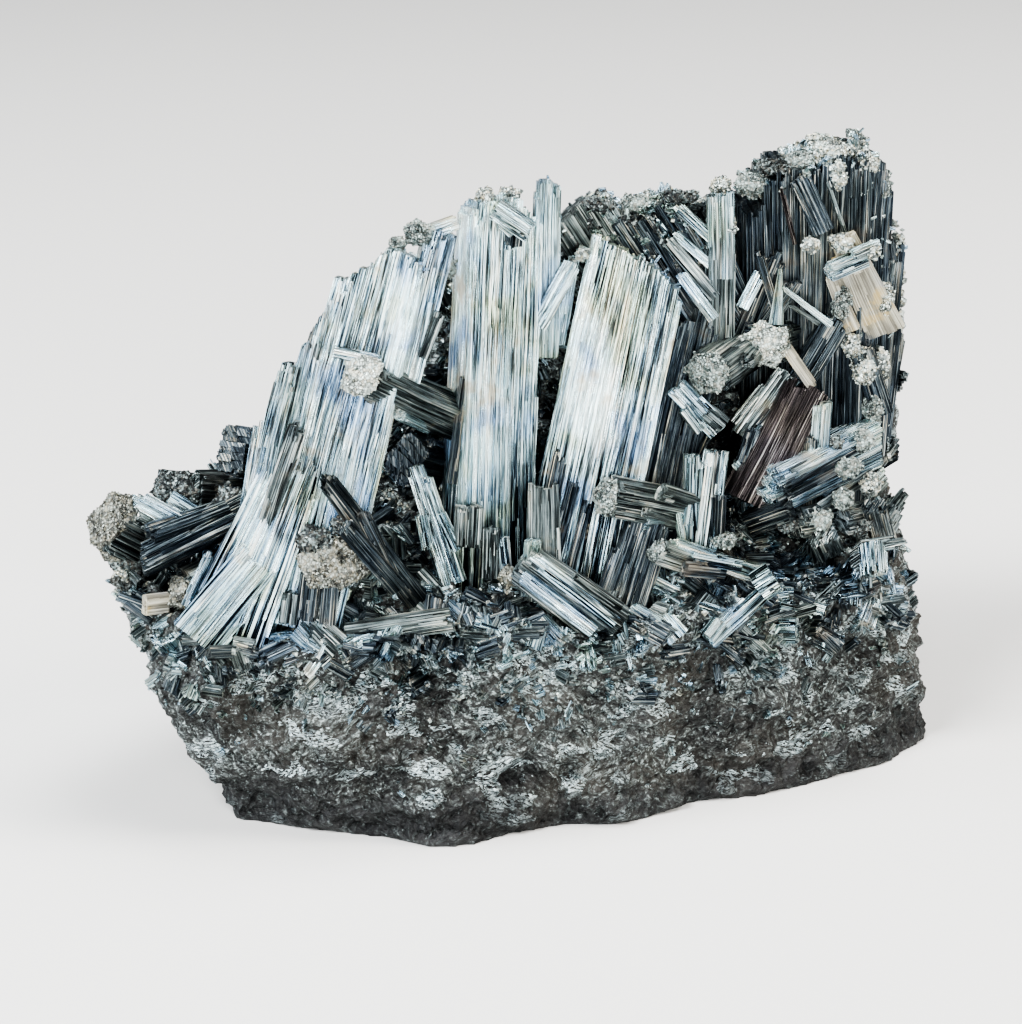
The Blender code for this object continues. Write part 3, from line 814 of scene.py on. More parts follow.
class DruseTree(GeometryTree):
    """Scatters small crystals over the part of a surface that its "druse" attribute marks."""

    title = "druse"
    inputs = {
        "Float": "Density Clump Length Width Lean Sink",
        "Object": "Crystal",
        "Int": "Seed",
        "Material": "Material",
    }

    def grow(self) -> Wire:
        """Points on the marked faces, a small crystal on each, leaning with its patch."""
        given = self.given
        place = self.position()
        bunch = self.remap(self.noise(self.seeded(place), per(6.0), 2.0), 0.42, 0.58)
        bunch = bunch * given["Clump"] + (1.0 - given["Clump"])
        points = self.add("GeometryNodeDistributePointsOnFaces", {
            "Mesh": given, "Density": self.named("druse") * bunch * given["Density"],
            "Seed": given["Seed"]}, distribute_method="RANDOM")
        normal = points["Normal"]
        patch_way = self.math("NORMALIZE", self.cells(place, per(5.0), "Color") - GREY_POINT)
        lean = patch_way + self.random((-1, -1, -1), (1, 1, 1), 2) * (0.5, 0.5, 0.5)
        sunk = self.move(points, Offset=normal * (given["Sink"] * self.random(-1.0, -0.2, 9)))
        facing = self.add("FunctionNodeAxesToRotation", {
            "Primary Axis": lean * given["Lean"] + normal, "Secondary Axis": normal},
            primary_axis="Z", secondary_axis="Y")
        roll = self.random((-0.22, -0.22, -0.5), (0.22, 0.22, 0.5), 5)
        spin = self.add("FunctionNodeRotateRotation", {
            "Rotation": facing, "Rotate By": roll}, rotation_space="LOCAL")
        thick = given["Width"] * self.random(0.55, 1.5, 6)
        size = self.combine(thick, thick * self.random(0.6, 1.1, 7),
                            given["Length"] * self.random(0.45, 1.3, 8))
        shape = self.add("GeometryNodeObjectInfo", {"Object": given["Crystal"]}, "Geometry")
        return self.realized(self.sprinkle(sunk, shape, spin, size))


# ---- crystals


class Kit:
    """The finished materials and the trees that everything grows from.

    Attributes:
        laths: Lath material for each record slot.
        blade: Lath material of the big bright blades, with stronger painted shade near their roots.
        coats: Granular crust of each kind.
        matrix: Material of the rock.
        floor: Material of the pale stage.
        large: Tree that grows bundles.
        small: Tree that grows small bundles.
        knobs: Tree that grows knobs and lumps of crust.
        druse: Tree that scatters small crystals.
    """

    def __init__(self) -> None:
        # Clean prism faces: a lit copy of the lath finish, pale steel that is partly painted
        # highlight, with a cool tarnish, and cream where a film lies on them.
        face = LathFinish(
            "manganite_bright",
            "0 #13181D 0.1 #343F4A 0.22 #768D9B 0.36 #ABC6CF 0.56 #CFE5E8 0.82 #E4F0EE 1 #F2EDDC",
            1.0, 0.22, 0.7, 0.93, "#C0B59C", 0.18, shade=0.14, calm=0.5, tarnish=0.5)
        # The same faces on the big blades, where smooth stretches alternate with deep striation,
        # and stronger painted shade darkens laths near their roots.
        self.blade = replace(
            face, name="manganite_blade", shade=0.6, calm=1.0, tarnish=0.7).build()
        self.laths = {slot: look.build() for slot, look in {
            Slot.BRIGHT: face,
            # Shaded bundles: a darker copy of the lath finish, iron-black faces that are partly
            # painted shade, with a few silver hairlines.
            Slot.DARK: LathFinish(
                "manganite_dark",
                "0 #11151A 0.36 #2C343B 0.56 #4A545B 0.72 #6E7A7F 0.87 #A8AFAE 1 #E4DECB",
                1.0, 0.3, 0.8, 0.8, "#5E5448", 0.2, 0.14, 1.2),
            # Slightly weathered grey laths under the granular ends.
            Slot.CRUST: LathFinish(
                "manganite_grey",
                "0 #111415 0.22 #2D3436 0.44 #606B6D 0.66 #98A5A5 0.86 #CCD5D1 1 #EEEDE2",
                0.95, 0.3, 0.8, 0.92, "#8A8471", 0.25, 0.28, 1.0),
            # Laths stained brown by goethite.
            Slot.BROWN: LathFinish(
                "manganite_brown", "0 #131315 0.34 #282627 0.58 #454041 0.78 #736C6B 1 #C8C4BD",
                0.95, 0.32, 0.8, 0.85, "#4B433D", 0.16, 0.14, 1.2),
            # Smooth cleavage plate with a clay film.
            Slot.TAN: LathFinish(
                "manganite_tan", "0 #767368 0.28 #B4B1A1 0.5 #D6D4C7 0.8 #E2E1D8 1 #EEEDE6",
                0.1, 0.5, 0.35, 0.3, "#BBA264", 0.42, 0.05, 0.6, calm=0.5, tarnish=0.6),
        }.items()}
        # The fifth colour of each coat is the painted shade between its grains.
        self.coats = {coat: CrustFinish(f"{coat.value}_crust", *look).build() for coat, look in {
            Coat.GREY: ("#AEBCB8", "#5C6664", "#98988E", 0.18, "#2B2F30", 0.36),
            Coat.DARK: ("#98A6A5", "#2A2F30", "#605E57", 0.42, "#1A1B1C", 0.36),
            Coat.TAN: ("#A2A79F", "#4C4E4A", "#918D7C", 0.22, "#282826", 0.38),
            Coat.SMOOTH: ("#CCD7D1", "#858D89", "#C6C1AF", 0.14, "#5C605C", 0.42),
            Coat.PALE: ("#D6E1DC", "#636B69", "#CCC6B0", 0.24, "#34393A", 0.4),
        }.items()}
        # The rock; its last colour, #17181A, is the painted shade along its foot.
        self.matrix = MatrixFinish(
            "massive_matrix",
            "0 #101011 0.26 #252726 0.5 #404342 0.7 #606766 0.87 #8B9694 1 #BDCAC9",
            # BCCACC is the painted highlight of the cleavage faces.
            "#3A362F", "#BCCACC", "#17181A").build()
        self.floor = PlainFinish("pale_floor", "#CFCFCD", 0.9).build()
        self.large, self.small = LathBundleTree(), LathBundleTree(SMALL_LAYERS, 2)
        self.knobs, self.druse = KnobTree(), DruseTree()


@dataclass(frozen=True)
class Crystal:
    """One bundle of parallel laths, in millimetres and degrees.

    Attributes:
        slot: Finish of the laths.
        root: Where the axis starts.
        tip: Where the axis ends.
        width: Across the broad face.
        thickness: Through it.
        turn: Turn of the broad face about the axis.
        spread: Width at the tip over width at the root.
        crown: How much shorter the outer laths are.
        slope: How much the tip slopes across the face.
        ragged: How uneven the tip is.
        lath: Width of one lath.
        head: Diameter of the granular knob on the tip, or 0.
        coat: Crust of the knob.
    """

    slot: Slot
    root: Triple
    tip: Triple
    width: float
    thickness: float
    turn: float = 0.0
    spread: float = 1.0
    crown: float = 0.05
    slope: float = 0.0
    ragged: float = 0.1
    lath: float = 0.3
    head: float = 0.0
    coat: Coat = Coat.GREY

    @classmethod
    def table(cls, rows: str) -> "list[Crystal]":
        """Reads bundles from rows of slot, root, tip, width, thickness and other field=value."""
        found = []
        for slot, *words in map(str.split, rows.strip().splitlines()):
            size = [float(word) for word in words[:8]]
            rest = dict(word.split("=") for word in words[8:])
            coat = Coat(rest.pop("coat", "grey"))
            found.append(cls(Slot(slot), tuple(size[:3]), tuple(size[3:6]), *size[6:], coat=coat,
                             **{key: float(value) for key, value in rest.items()}))
        return found

    def frame(self) -> tuple[Matrix, float]:
        """The matrix that stands a bundle on its root, and its length in metres."""
        root = Vector(self.root) * MM + TO_MIDDLE
        along = Vector(self.tip) * MM + TO_MIDDLE - root
        length = along.length
        along.normalize()
        outward = Vector((0.0, -1.0, 0.0)) if abs(along.y) < 0.75 else Vector((0.0, 0.0, 1.0))
        outward -= along * outward.dot(along)
        outward.normalize()
        outward.rotate(Matrix.Rotation(math.radians(self.turn), 3, along))
        side = along.cross(outward)
        turned = Matrix((side, outward, along)).transposed().to_4x4()
        return Matrix.Translation(root) @ turned, length

    def companion(self, dice: random.Random) -> "Crystal":
        """A smaller lath that grew beside this bundle, nearly parallel to it."""
        place, length = self.frame()
        place = Matrix.Translation(-TO_MIDDLE) @ place
        length /= MM
        side = dice.choice((-1, 1)) * self.width * dice.uniform(0.32, 0.56)
        out = self.thickness * dice.uniform(-0.2, 0.5)
        start = dice.uniform(0.0, 0.35) * length
        reach = dice.uniform(0.25, 0.62 if self.width < BROAD else 0.4) * length
        lean = Vector((dice.uniform(-0.16, 0.16), dice.uniform(-0.12, 0.16), 1.0))
        root = Vector((side, out, start))
        tip = root + lean * min(reach, length - start)
        thick = dice.uniform(0.9, 2.2)
        slot = dice.choice((self.slot, self.slot, Slot.DARK, Slot.CRUST, Slot.BRIGHT))
        return Crystal(slot, tuple(place @ (root * MM) / MM), tuple(place @ (tip * MM) / MM), thick,
                       thick * dice.uniform(0.6, 1.0), self.turn + dice.uniform(-30, 30))

    def grow(self, kit: Kit, tree: LathBundleTree, seed: int) -> bpy.types.Mesh:
        """Grows the laths in their place."""
        place, length = self.frame()
        blade = self.slot is Slot.BRIGHT and self.width > BROAD
        mesh = tree.run(None, {
            "Width": self.width * MM, "Thickness": self.thickness * MM, "Length": length,
            "Block": min(self.width * 0.3, 2.6) * MM, "Lath": self.lath * MM,
            "Spread": self.spread, "Crown": self.crown, "Slope": self.slope, "Ragged": self.ragged,
            "Step": min(0.09 * self.thickness, 0.7) * MM,
            "Relief": min(0.28 * self.lath, 0.14) * MM, "Bend": 0.02 * length, "Seed": seed,
            "Material": kit.blade if blade else kit.laths[self.slot]})
        mesh.transform(place)
        return mesh

    def grow_head(self, kit: Kit, seed: int) -> bpy.types.Mesh:
        """Grows the thick granular crust over the blunt tip."""
        broad = max(self.head, self.width) * 0.5 * MM
        place, length = self.frame()
        mesh = kit.knobs.run(None, {
            "Radii": (broad * 1.06, broad * 0.94, broad * 0.5), "Grain": 0.36 * MM, "Seed": seed,
            "Material": kit.coats[self.coat]})
        mesh.transform(place @ Matrix.Translation((0.0, 0.0, length - broad * 0.22)))
        return mesh


@dataclass(frozen=True)
class CrystalPiece:
    """A group of grown-together crystals.

    Attributes:
        node: CAD node it replaces, or the name of the group.
        crystals: Its bundles.
        satellites: How many small laths grow beside each bundle.
        small: Whether they are small bundles, of few laths.
    """

    node: str
    crystals: list[Crystal]
    satellites: int = 0
    small: bool = False

    def build(self, kit: Kit, seed: int, replaced: Iterable[str] = ()) -> None:
        """Grows the bundles and knobs and makes them ride on the rock's body.

        Args:
            kit: Materials and trees.
            seed: Random seed of the first bundle.
            replaced: CAD nodes there are; the one named like the group is replaced.
        """
        tree = kit.small if self.small else kit.large
        by_slot: dict[Slot, list[bpy.types.Mesh]] = {}
        heads = []
        for number, crystal in enumerate(self.crystals):
            dice = random.Random(seed + number)
            group = [crystal] + [crystal.companion(dice) for _ in range(self.satellites)]
            for step, part in enumerate(group):
                mesh = part.grow(kit, tree, seed + number * BUNDLE_STEP + step * LATH_STEP)
                by_slot.setdefault(part.slot, []).append(mesh)
            if crystal.head:
                heads.append(crystal.grow_head(kit, seed + number))
        built = [seat(f"{self.node}_{slot.value}_laths", meshes, slot)
                 for slot, meshes in by_slot.items()]
        if heads:
            seat(f"{self.node}_knobs", heads, Slot.CRUST)
        if self.node in replaced:
            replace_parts(built[0], self.node)


# The crystal groups, from left to right and front to back. A group starts with the CAD node that it
# replaces and the number of small laths beside each bundle, 3 if none is given.
GROUPS = """
left_blade_crystal 1
bright -29.6 -20.5 29 -16.2 -12.7 78.6 13 8.4 turn=-6 spread=0.82 crown=0.07 slope=0.04 ragged=0.04
bright -34.6 -19.8 30 -23.4 -14.2 72.4 5.4 7.4 turn=-10 spread=0.8 slope=0.1
bright -36.4 -20.2 30 -26.4 -15.8 66.6 5.2 6.6 turn=-18 spread=0.8 crown=0.06 slope=0.1
bright -37.2 -20.4 30 -28.4 -17 65.2 3.4 5 turn=-30 spread=0.8 crown=0.1
bright -38.5 -23 27.5 -27.6 -19 53 12 6 turn=-12 spread=0.6 crown=0.1
bright -42.4 -25.2 28.4 -33.2 -23.4 39.4 6.4 1.8 turn=-8 spread=0.9 crown=0.02 lath=0.4
bright -15.6 -12.5 57 -9.7 -8.6 80 3.8 4.6 turn=10 crown=0.02 slope=0.04
crust -8 -4 52 -20.2 -21.6 63.8 5 4.6 crown=0.1 head=6.4 coat=smooth
crust -24.5 -17 35 -23.8 -25 39 7 6.4 crown=0.12 head=9.2 coat=tan

centre_prism_crystal 1
bright -4.3 -7.5 29 -2 0 82.6 11 9.5 turn=24 spread=0.88 ragged=0.05
bright 4.2 -0.5 60 4.4 0.5 84.8 3.2 3.4 turn=10
bright -4.4 -4.4 76 -3.6 -3.6 83.4 2.6 2.2 turn=10 crown=0.2
bright -1.2 -4.2 76 -1.4 -3.4 83.8 2.8 2.4 turn=-20 crown=0.25
bright -2.6 -6.2 82 2.2 -6.4 78.8 2.4 2 turn=12 crown=0 lath=0.4

right_blade_crystal 1
bright 7.2 -9.5 28 17 -0.5 74.5 13.8 8 turn=-4 spread=0.95 crown=0.03 slope=-0.06 ragged=0.03

dark_prism_crystal
dark 17 -2 29 25 4.5 66 9 7 turn=12 spread=0.9 crown=0.1

tall_end_crystals
dark 37 10 38 35.6 10.5 84.6 10 13 turn=6 crown=0.04 slope=0.02 lath=0.26
dark 44 10 36 43.5 12 87.6 10 14 crown=0.03 lath=0.26
dark 47 12 40 47.2 14 86.2 8 13 turn=10 crown=0.06 slope=-0.03 lath=0.26
dark 48.8 13 42 50.8 15 77.4 6 11 turn=10 crown=0.06 slope=-0.04 lath=0.26
crust 38.5 10 59.6 34.2 0.4 61.2 5.6 5 crown=0.12 head=7.4 coat=smooth

upright_lath_crystal 0
crust 28.4 3.2 57 28 3.6 76 3.6 3.2 turn=8 crown=0.1
bright 28.1 3.1 70 27.8 3.5 82.3 3 2.8 turn=8 crown=0.02

tan_plate_crystal 0
tan 51 5.8 61.4 44.2 2.2 75.6 4.4 1.8 turn=-8 spread=0.7 crown=0.06 slope=0.12 ragged=0.06 lath=0.9
tan 46.6 3.4 62.6 43 2 70.6 1.9 1.2 turn=-8 spread=0.7 crown=0.08 ragged=0.08 lath=0.7

ridge_crystals
dark 29 7 58 15.5 8.5 79 12 8 lath=0.34
crust 19 8 62 8 8.5 79 9 7 turn=8 crown=0.08

left_stub_crystal
crust -47 -9 34.5 -54.9 -14.7 41.6 7 6.4 crown=0.1 head=8.4 coat=tan

left_grain_crystal
crust -42 4 38 -46.6 -8.4 43 7 5.6 crown=0.1 head=7.4 coat=dark

left_ribbed_crystal
dark -30 2 43 -38.8 -6.5 48.6 6.4 5.6 turn=30 crown=0.04

left_round_crystal
dark -33 -3 39 -39 -12 42.5 5.4 5 crown=0.16 head=6.2 coat=dark

left_long_crystal
dark -34 -11.5 42.5 -50.6 -19.5 36.4 3.8 3.6 turn=35 spread=0.9 crown=0.04

left_low_crystal
crust -33.5 -11 35.5 -45.4 -18.2 31.7 5 4.6 crown=0.14 head=5.6 coat=tan

leaning_crystal
dark -13.4 -19 31.5 -25 -28 52.6 3 2.8 turn=24 spread=0.72 crown=0.03

inner_bright_crystal
bright -8.2 -14.5 32 -13.4 -10.5 47.8 2.8 2 turn=-20 spread=0.9

inner_ribbed_crystal
dark -11.5 -1 44 -15 -9.5 48 6 5 turn=60

rim_lath_crystal
crust -22.4 -24.4 28.6 -8 -24 30.8 2.6 2 crown=0

fan_crystal
crust 13.4 -18.6 27 0.4 -17.4 36.6 6.6 4 turn=-18 spread=0.85 crown=0.06

plate_crystal
crust 4.2 -15.4 30 3.8 -13 46 4.6 2.2 spread=0.8 crown=0 lath=0.5

pocket_left_head
crust 33 6 60 25.8 -4 58.2 5.6 4.8 crown=0.12 head=7.4

pocket_lath_crystal
bright 27.8 -4.4 50.4 21.6 -4 57 2.4 2

brown_plate_crystal
brown 32 -4 40 40.6 1 56.4 6 4 turn=10 crown=0.06
crust 31.4 -1.4 48.6 38 0.6 57.6 3.2 2.4 crown=0.06

pocket_white_crystal
bright 41.8 -0.5 40 42.3 -1.2 54.6 2.3 2 crown=0.06

twin_lath_crystals
bright 25.6 -10 32 27.4 -8.4 49.6 3.1 2.4 turn=-10 spread=0.95
bright 24.2 -9.4 36 24.2 -8.6 48.8 2.2 2.2 turn=12 spread=0.95

ribbed_bundle_crystal
bright 50 5 46 34 -6.4 42 6.6 5 turn=-14 spread=0.85 crown=0.08

hooked_crystal
crust 23.4 -7.4 40 11.9 -14.2 44.6 4.6 4 crown=0.1 head=5.6

under_hook_crystal
dark 14.4 -13.6 28 18.2 -10 40 6 4 turn=12 crown=0.08

long_lath_crystal
bright 33 -9.8 31.4 20.4 -14.4 37.6 2 1.8 crown=0.02

low_lath_crystal
bright 26.4 -16 24 34.4 -11.8 30 1.9 1.7 crown=0
"""


def crystal_pieces() -> list[CrystalPiece]:
    """Reads the crystal groups."""
    pieces = []
    for block in GROUPS.strip().split("\n\n"):
        head, rows = block.split("\n", 1)
        node, *few = head.split()
        pieces.append(CrystalPiece(node, Crystal.table(rows), int(few[0]) if few else 3))
    return pieces


# ---- the rock


def broken_rock(source: bpy.types.Object, kit: Kit) -> bpy.types.Object:
    """Builds the rock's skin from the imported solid, which it replaces."""
    holder = mesh_object("rock_holder", source.data.copy())
    holder.data.materials.clear()
    remesh = holder.modifiers.new("Skin", "REMESH")
    remesh.mode = "VOXEL"
    remesh.voxel_size = VOXEL * MM
    smooth = holder.modifiers.new("Soften", "SMOOTH")
    smooth.iterations = SMOOTHINGS
    smooth.factor = 0.5
    skin = SkinTree().run(evaluated_mesh(holder), {"Seed": 3, "Material": kit.matrix})
    skin.materials.clear()
    skin.materials.append(kit.matrix)
    rock = seat(f"{ROCK_NODE}_skin", [skin], Slot.ROCK)
    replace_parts(rock, ROCK_NODE)
    return rock


class Zone(Enum):
    """Where on the rock small crystals grow."""

    VUG = "vug"
    RIM = "rim"
    FACE = "face"
    CREST = "crest"
    CAP = "cap"

    def weigh(self, mesh: bpy.types.Mesh) -> np.ndarray:
        """How much of this zone each vertex is, from 0 to 1; places here are in millimetres."""
        place, normal = np.empty((2, len(mesh.vertices) * 3), np.float32)
        mesh.vertices.foreach_get("co", place)
        mesh.vertices.foreach_get("normal", normal)
        x, y, z = place.reshape(-1, 3).T / MM
        nx, ny, nz = normal.reshape(-1, 3).T
        if self is Zone.VUG:
            open_side = (abs(nx) < 0.6) & (ny < 0.35) & ((nz > 0.2) | (z > 35))
            return (z > 26) * open_side * np.clip((30 - y) / 8, 0, 1)
        if self is Zone.RIM:
            return np.clip(1.6 - abs(z - 26) / 6, 0, 1) * (ny < 0.1) * (abs(nx) < 0.8)
        if self is Zone.FACE:
            share = np.clip((z - 4) / 26, 0.12, 1.0)
            return share * (z < 36) * (z > 4) * (nz > -0.7) * np.where(ny < 0.1, 1.0, 0.3)
        low, side = (79, 0.2) if self is Zone.CAP else (66, 0.5)
        top = np.clip((z - low) / 6, 0, 1) * (nz > 0.15)
        rim = (x > 46) * (z > 42) * (nx > 0.25) * side
        return np.maximum(top, rim)


class Prototypes:
    """Small shapes to scatter: prisms of a few laths, thin prisms, cleavage flakes and grains."""

    # Width, thickness, length and lath width, in millimetres.
    bundles = {
        "stub": (1.9, 1.3, 4.6, 0.42),
        "splinter": (0.8, 0.6, 3.6, 0.3),
        "flake": (0.9, 0.28, 1.9, 0.3),
    }

    def __init__(self, kit: Kit) -> None:
        self.shapes = {"grain": mesh_object("grain", self.crumb())}
        for name, (width, thickness, length, lath) in self.bundles.items():
            mesh = kit.small.run(None, {
                "Width": width * MM, "Thickness": thickness * MM, "Length": length * MM,
                "Block": 0.7 * MM, "Lath": lath * MM, "Spread": 1.0, "Crown": 0.06, "Slope": 0.08,
                "Ragged": 0.2, "Step": 0.25 * MM, "Relief": 0.05 * MM, "Bend": 0.0, "Seed": 5,
                "Material": kit.laths[Slot.DARK]})
            mesh.transform(Matrix.Translation((0.0, 0.0, -0.3 * length * MM)))
            self.shapes[name] = mesh_object(name, mesh)

    def crumb(self) -> bpy.types.Mesh:
        """A blocky grain, about 0.6 mm across."""
        work = bmesh.new()
        bmesh.ops.create_cube(work, size=0.62 * MM)
        bmesh.ops.rotate(work, verts=work.verts, matrix=Matrix.Rotation(0.6, 3, (1.0, 0.7, 0.2)))
        mesh = bpy.data.meshes.new("crumb")
        work.to_mesh(mesh)
        work.free()
        return mesh

    def remove(self) -> None:
        """Takes the shapes out of the scene."""
        for shape in self.shapes.values():
            bpy.data.objects.remove(shape, do_unlink=True)


@dataclass(frozen=True)
class Scatter:
    """One scattered kind of small crystal.

    Attributes:
        name: Name of the piece.
        zone: Where it grows.
        shape: What is scattered.
        slot: Record slot, which gives the laths' finish.
        coat: Crust of grains, which have no laths.
        density: Crystals per square centimetre.
        clump: How much they gather in clumps, from 0 to 1.
        width: Scale across.
        length: Scale along.
        lean: 0 stands upright on the surface, large values lie flat.
        sink: How deep the roots sit, in millimetres.
    """

    name: str
    zone: Zone
    shape: str
    slot: Slot
    coat: Coat | None
    density: float
    clump: float
    width: float
    length: float
    lean: float
    sink: float

    @classmethod
    def table(cls, rows: str) -> "list[Scatter]":
        """Reads rows of name, zone, shape, slot or coat, and the six numbers."""
        found = []
        for name, zone, shape, look, *words in map(str.split, rows.strip().splitlines()):
            coat = Coat(look) if shape == "grain" else None
            found.append(cls(name, Zone(zone), shape, Slot.CRUST if coat else Slot(look), coat,
                             *map(float, words)))
        return found

    def build(self, surface: bpy.types.Mesh, kinds: Prototypes, kit: Kit, seed: int) -> None:
        """Grows the crystals on a surface and seats them as one piece."""
        material = kit.coats[self.coat] if self.coat else kit.laths[self.slot]
        marked = surface.copy()
        layer = marked.attributes.new("druse", "FLOAT", "POINT")
        layer.data.foreach_set("value", self.zone.weigh(surface).astype(np.float32))
        mesh = kit.druse.run(marked, {
            "Density": self.density * PER_SQUARE_CM, "Clump": self.clump, "Length": self.length,
            "Crystal": kinds.shapes[self.shape], "Width": self.width, "Lean": self.lean,
            "Sink": self.sink * MM, "Seed": seed, "Material": material})
        mesh.materials.clear()
        mesh.materials.append(material)
        LOG.info("%s: %d faces", self.name, len(mesh.polygons))
        seat(f"druse_{self.name}", [mesh], self.slot)


# Small crystals by what they grow on: upright ones in the vug, bundles and flakes on the rim, flat
# flakes on the broken face, then the pale granular crust over the tall end and the back ridge.
SKIN = "skin"
SCATTERS = {
    SKIN: """
vug_dark vug stub dark 4.5 0.3 1.1 1.1 1.2 0.8
vug_grey vug stub crust 8 0.3 0.9 0.9 1.6 0.8
vug_bright vug splinter bright 12 0.6 1 1 1.6 0.4
vug_grains vug grain pale 80 0.9 0.8 0.8 0.5 0.1
rim_dark rim stub dark 4 0.3 1 1 2.6 1
rim_grey rim stub crust 8 0.4 0.8 0.9 3.2 1
rim_bright rim flake bright 22 0.8 1.2 1.5 5 0.15
rim_grains rim grain grey 35 0.9 0.8 0.8 0.5 0.1
face_flakes face flake bright 10 0.95 0.9 1 9 0.25
face_plates face flake crust 15 0.7 1.2 1.3 9 0.5
""",
    "tall_end_crystals": """
tall_end_pale cap grain pale 200 0.5 1.1 1.1 0.6 0.1
tall_end_dull cap grain grey 300 0.3 0.9 0.9 0.6 0.1
tall_end_splinters cap splinter bright 80 0.6 0.8 0.6 0.9 0.2
""",
    "ridge_crystals": """
ridge_pale crest grain pale 160 0.7 0.9 0.9 0.6 0.1
ridge_splinters crest splinter bright 90 0.6 0.8 0.7 0.9 0.2
ridge_dull crest grain dark 240 0.5 0.9 0.9 0.6 0.1
""",
    ROCK_NODE: """
rock_pale crest grain pale 200 0.7 1 1 0.6 0.1
""",
}


def grow_druse(surfaces: dict[str, bpy.types.Object], kit: Kit) -> None:
    """Grows all the small crystals on the rock's skin and the CAD nodes, given by name."""
    kinds, seeds = Prototypes(kit), count(CREST_SEED)
    for surface, rows in SCATTERS.items():
        for number, scatter in enumerate(Scatter.table(rows)):
            seed = number if surface is SKIN else next(seeds)
            scatter.build(surfaces[surface].data, kinds, kit, seed)
    kinds.remove()


@dataclass(frozen=True)
class Thicket:
    """Middling broken bundles fused to the rock, in sheaves that lie over one another.

    Attributes:
        name: Name of the pieces.
        count: How many bundles.
        low: Least x and z of the field, seen from the open side, in millimetres.
        high: Greatest x and z.
        length: Least and greatest length.
        width: Least and greatest width.
        lean: How far they stand out, from 0 (flat on the rock) to 1 (upright).
        slots: Slots of the bundles, the common ones repeated.
        roll: Greatest turn of the broad face, in degrees.
    """

    name: str
    count: int
    low: tuple[float, float]
    high: tuple[float, float]
    length: tuple[float, float]
    width: tuple[float, float]
    lean: float
    slots: str
    roll: float = 50

    def build(self, rock: BVHTree, kit: Kit, seed: int) -> None:
        """Finds places on the rock, then grows a bundle on each."""
        dice = random.Random(seed)
        crystals = []
        inward = Vector((0.0, 1.0, -0.3)).normalized()
        while len(crystals) < self.count:
            x, z = dice.uniform(self.low[0], self.high[0]), dice.uniform(self.low[1], self.high[1])
            start = Vector((x, 0.0, z)) * MM - inward * CAST_FROM
            spot, normal, _, _ = rock.ray_cast(start, inward)
            if spot is not None:
                crystals.append(self.bundle(spot / MM, normal, dice))
        CrystalPiece(self.name, crystals, small=True).build(kit, seed)

    def bundle(self, spot: Vector, normal: Vector, dice: random.Random) -> Crystal:
        """One bundle at a spot; those of one sheaf point nearly the same way."""
        sheaf = random.Random(f"{math.floor(spot.x / 8)} {math.floor(spot.z / 7)} {self.name}")
        angle = sheaf.uniform(-math.pi, math.pi) + dice.uniform(-0.45, 0.45)
        flat = Vector((math.cos(angle), 0.0, math.sin(angle)))
        flat -= normal * flat.dot(normal)
        way = flat.normalized() * (1 - self.lean) + normal * dice.uniform(0.1, 1.0) * self.lean
        way.normalize()
        reach = dice.uniform(*self.length)
        width = dice.uniform(*self.width)
        root = spot - normal * 0.5 - way * reach * 0.3 - TO_MIDDLE / MM
        thickness, turn = width * dice.uniform(0.45, 0.8), dice.uniform(-self.roll, self.roll)
        spread, slope = dice.uniform(0.8, 1.05), dice.uniform(-0.1, 0.1)
        slot = Slot(dice.choice(self.slots.split()))
        return Crystal(slot, tuple(root), tuple(root + way * reach), width, thickness, turn, spread,
                       0.08, slope, 0.28, 0.26)


# The fields of middling bundles, from the vug down to the broken face.
THICKETS = (
    Thicket("thicket_vug", 60, (-50, 36), (50, 58), (4, 9), (1.4, 3.2), 0.75,
            "bright dark dark crust crust"),
    Thicket("thicket_right", 66, (24, 30), (53, 46), (4, 9), (1.4, 3.4), 0.55,
            "bright dark dark crust crust"),
    Thicket("thicket_rim", 100, (-50, 26), (53, 37), (4, 9), (1.4, 3.6), 0.4,
            "bright bright dark dark crust"),
    Thicket("thicket_plates", 64, (-48, 20), (53, 32), (2.4, 5.4), (1.6, 4.4), 0.06,
            "bright bright bright crust", 16),
    Thicket("thicket_face", 110, (-46, 18), (54, 28), (3, 7), (1.4, 3.4), 0.12,
            "bright dark dark crust"),
)


# ---- details

